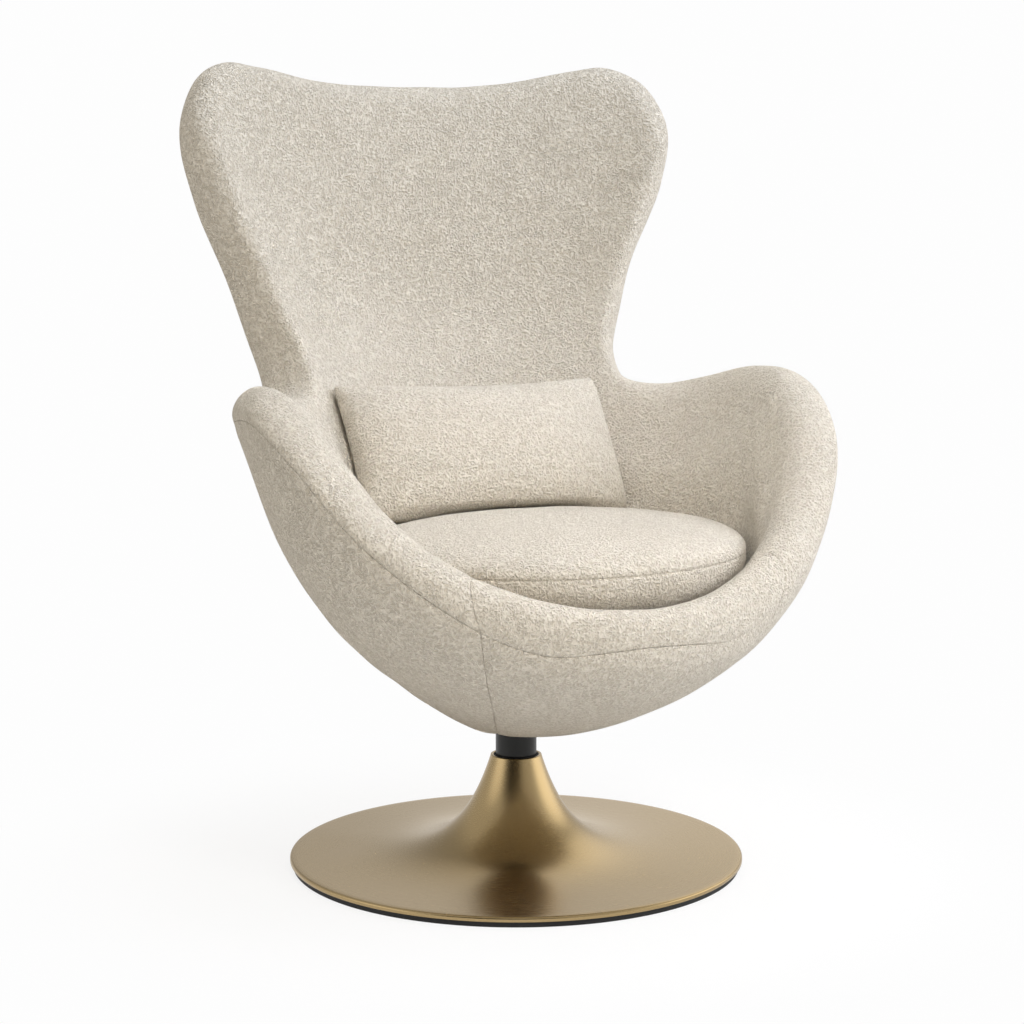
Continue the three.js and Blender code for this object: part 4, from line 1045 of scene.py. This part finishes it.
def trumpet_profile(radius, ring_radius):
    """The trumpet's sheet: round its edge, up the flare, over the mouth and down inside."""
    reach = radius - EDGE_ROLL - NECK_RADIUS
    stations = NECK_RADIUS + reach * np.linspace(0, 1, FLARE_STATIONS) ** FLARE_POWER
    height = EDGE_TOP + (BASE_HEIGHT - EDGE_TOP) * np.exp((NECK_RADIUS - stations) / FLARE_LENGTH)
    slope = (EDGE_TOP - height) / FLARE_LENGTH
    length = np.hypot(1, slope)
    top = list(zip(stations, height))[-2:0:-1]
    under = list(zip(stations + SHEET * slope / length, height - SHEET / length))
    turn = np.linspace(0, np.pi / 2, ROLL_STATIONS)
    out, up = EDGE_ROLL * np.sin(turn), EDGE_ROLL * np.cos(turn)
    roll = list(zip(radius - EDGE_ROLL + out, EDGE_TOP - EDGE_ROLL + up))
    lip = [
        (NECK_RADIUS - NECK_EASE, BASE_HEIGHT - NECK_ROUND),
        (NECK_RADIUS - NECK_EASE - NECK_ROUND, BASE_HEIGHT),
        (MOUTH_RADIUS + LIP_ROUND, BASE_HEIGHT),
        (MOUTH_RADIUS, BASE_HEIGHT - LIP_ROUND),
        (MOUTH_RADIUS, BASE_HEIGHT - MOUTH_LIP),
    ]
    return [
        (ring_radius + TOUCH_GAP, EDGE_BOTTOM),
        (radius - SHEET / 2, EDGE_BOTTOM),
        (radius, EDGE_BOTTOM + SHEET / 2),
        *roll[::-1],
        *top,
        *lip,
        *under[UNDER_START:-1],
        (ring_radius + TOUCH_GAP, EDGE_TOP - SHEET),
    ]


def base():
    """The trumpet, the floor ring, the seal at the mouth, and the column."""
    radius = BASE_DIAMETER / 2
    ring_radius = radius - RING_INSET
    profile = trumpet_profile(radius, ring_radius)
    trumpet = turned("trumpet_base", profile, BRASS, "base", LARGE_ROUND)
    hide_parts("base_trumpet")
    foot, inner = ring_radius - RING_WIDTH, ring_radius - RING_LIP
    profile = softened([
        (foot, 0), (ring_radius, 0), (ring_radius, RING_HEIGHT), (inner, RING_HEIGHT),
        (inner, RING_FLOOR), (foot, RING_FLOOR)], STEEL_ROUND)
    ring = turned("floor_edge", profile, RUBBER, "base", LARGE_ROUND)
    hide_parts("floor_ring")
    low, high = TUBE_TOP + TOUCH_GAP, SEAL_TOP
    profile = softened([
        (SEAL_INNER, low), (SEAL_OUTER, low), (SEAL_OUTER, high), (SEAL_INNER, high)], SEAL_ROUND)
    seal = turned("mouth_gasket", profile, RUBBER, "base", SMALL_ROUND)
    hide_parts("mouth_seal")
    low, shoulder, outer = TUBE_TOP - SHANK_DEPTH, SEAL_TOP + TOUCH_GAP, COLUMN_DIAMETER / 2
    profile = softened([
        (COLUMN_BORE, low), (SHANK_RADIUS, low), (SHANK_RADIUS, shoulder), (outer, shoulder),
        (outer, COLUMN_TOP), (COLUMN_BORE, COLUMN_TOP)], STEEL_ROUND)
    column = turned("swivel_sleeve", profile, BLACK, "pod", MEDIUM_ROUND)
    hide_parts("swivel_column")


# Stage, lights and camera

def seen_floor(s):
    """The floor's shader: pale and lifted as seen near the chair, and plain where it lights."""
    path = s.add("ShaderNodeLightPath").outputs
    seen = s.math("MAXIMUM", path["Is Camera Ray"], path["Is Glossy Ray"])

    def glow(level):
        strength = s.math("MULTIPLY", seen, level)
        return s.add("ShaderNodeEmission", {"Color": (1, 1, 1, 1), "Strength": strength}).outputs[0]

    tone = s.mix(seen, (*FLOOR_BOUNCE, 1), (*FLOOR_TONE, 1))
    diffuse = s.add("ShaderNodeBsdfDiffuse", {"Color": tone}).outputs[0]
    near = s.add("ShaderNodeAddShader", {0: diffuse, 1: glow(FLOOR_LIFT)}).outputs[0]
    x, y, _ = s.split()
    fade = s.math("MULTIPLY", s.eased(s.length(x, y), *FLOOR_FADE), seen)
    return s.add("ShaderNodeMixShader", {0: fade, 1: near, 2: glow(BACKGROUND)}).outputs[0]


def floor():
    s = Shader("pale_floor")
    s.link(seen_floor(s), s.tree.nodes["Material Output"].inputs["Surface"])
    s.tree.nodes.remove(s.shader)
    mesh = bpy.data.meshes.new("floor")
    r = FLOOR_HALF
    mesh.from_pydata([(-r, -r, 0), (r, -r, 0), (r, r, 0), (-r, r, 0)], [], [(0, 1, 2, 3)])
    mesh.materials.append(s.material)
    plane = bpy.data.objects.new("floor", mesh)
    bpy.context.scene.collection.objects.link(plane)


def sky():
    """The background as seen, what glossy pieces mirror, and the even light on the rest."""
    world = bpy.data.worlds.new("studio")
    bpy.context.scene.world = world
    world.use_nodes = True
    s = Nodes(world.node_tree)
    path = s.add("ShaderNodeLightPath").outputs
    way = s.add("ShaderNodeTexCoord").outputs["Generated"]

    def lobe(direction, *ends):
        """A value that eases from one level to another as a ray turns to a direction."""
        dot = s.add("ShaderNodeVectorMath", {0: way, 1: direction}, operation="DOT_PRODUCT")
        return s.eased(dot.outputs["Value"], *ends)

    gloss = GLOSS_LEVEL
    for direction, low, high, strength in GLOSS_LOBES:
        gloss = s.math("ADD", lobe(direction, low, high, 0.0, strength), gloss)
    for direction, *ends in SHADES:
        gloss = s.math("MULTIPLY", gloss, lobe(direction, *ends))
    even = 0.0
    for direction, strength in AMBIENT_WAYS:
        even = s.math("ADD", lobe(direction, -1, 1, 0.0, strength), even)
    seen = s.math("MAXIMUM", path["Is Camera Ray"], path["Is Glossy Ray"])
    shown = s.math("MULTIPLY", path["Is Camera Ray"], BACKGROUND)
    total = s.math("MULTIPLY_ADD", path["Is Glossy Ray"], gloss, shown)
    total = s.math("MULTIPLY_ADD", s.math("SUBTRACT", 1.0, seen), even, total)
    background = s.tree.nodes["Background"]
    s.link(s.mix(seen, (*AMBIENT_COLOR, 1), (1, 1, 1, 1)), background.inputs["Color"])
    s.link(total, background.inputs["Strength"])


def lamp(name, place, target, side, watts, color, spread):
    """A square area lamp that no glossy piece mirrors."""
    data = bpy.data.lights.new(name, "AREA")
    data.shape = "RECTANGLE"
    data.size = data.size_y = side
    data.energy = watts
    data.spread = math.radians(spread)
    data.color = color
    light = bpy.data.objects.new(name, data)
    light.location = place
    way = Vector(target) - Vector(place)
    light.rotation_euler = way.to_track_quat("-Z", "Y").to_euler()
    light.visible_glossy = False
    bpy.context.scene.collection.objects.link(light)


def camera():
    data = bpy.data.cameras.new("camera")
    data.lens = CAMERA_LENS
    data.sensor_width = CAMERA_SENSOR
    data.shift_x = CAMERA_SHIFT
    view = bpy.data.objects.new("camera", data)
    turn = math.radians(CAMERA_AZIMUTH)
    across, ahead = CAMERA_DISTANCE * math.sin(turn), CAMERA_DISTANCE * math.cos(turn)
    view.location = (across, -ahead, CAMERA_HEIGHT)
    view.rotation_euler = (math.radians(90 - CAMERA_DOWN), 0, turn)
    bpy.context.scene.collection.objects.link(view)
    bpy.context.scene.camera = view


# Materials of the record's slots
BOUCLE = boucle()
LINING = lining()
BRASS = brushed_brass()
BLACK = plain(
    "black_steel", (0.006, 0.006, 0.0055), (0.013, 0.013, 0.012), 0.38, metallic=0.3, scale=1800.0)
STEEL = plain(
    "plain_steel", (0.36, 0.37, 0.39), (0.50, 0.51, 0.53), 0.38, metallic=1.0, scale=900.0)
NYLON = plain("nylon", (0.70, 0.69, 0.64), (0.78, 0.77, 0.72), 0.5)
RUBBER = plain("rubber", (0.010, 0.010, 0.010), (0.020, 0.020, 0.020), 0.75, scale=1200.0)
LAMINATE = plain("glass_fibre", (0.20, 0.21, 0.15), (0.34, 0.34, 0.27), 0.55, scale=260.0, bump=0.3)
PLYWOOD = plywood()

# The finish of each CAD piece that stays, by how its node's name starts
FINISHES = (
    (STEEL, ("ballast", "flange_bolt", "bearing", "spindle", "retaining", "seat_bolt", "t_nut")),
    (BLACK, ("column_tube", "seat_plate")),
    (NYLON, ("lower_bush", "upper_bush")),
    (PLYWOOD, ("mounting_board",)),
    (LAMINATE, ("shell_core",)),
)

bpy.context.scene.view_settings.view_transform = "Standard"
camera()
base()
outer_panel("outer_panel_right", RAIL_SEAM_SHARE, 1, "outer_cover_right")
outer_panel("outer_panel_left", 1, 2 - RAIL_SEAM_SHARE, "outer_cover_left")
outer_panel("front_rail_panel", -RAIL_SEAM_SHARE, RAIL_SEAM_SHARE, "front_rail_cover")
seat_deck()
seat = seat_cushion()
inside = pod_lining(seat)
lumbar_pillow(inside, seat)
for node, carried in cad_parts.items():
    for material, starts in FINISHES:
        if node.startswith(starts):
            carried.data.materials.clear()
            carried.data.materials.append(material)

floor()
sky()
for settings in LAMPS:
    lamp(*settings)
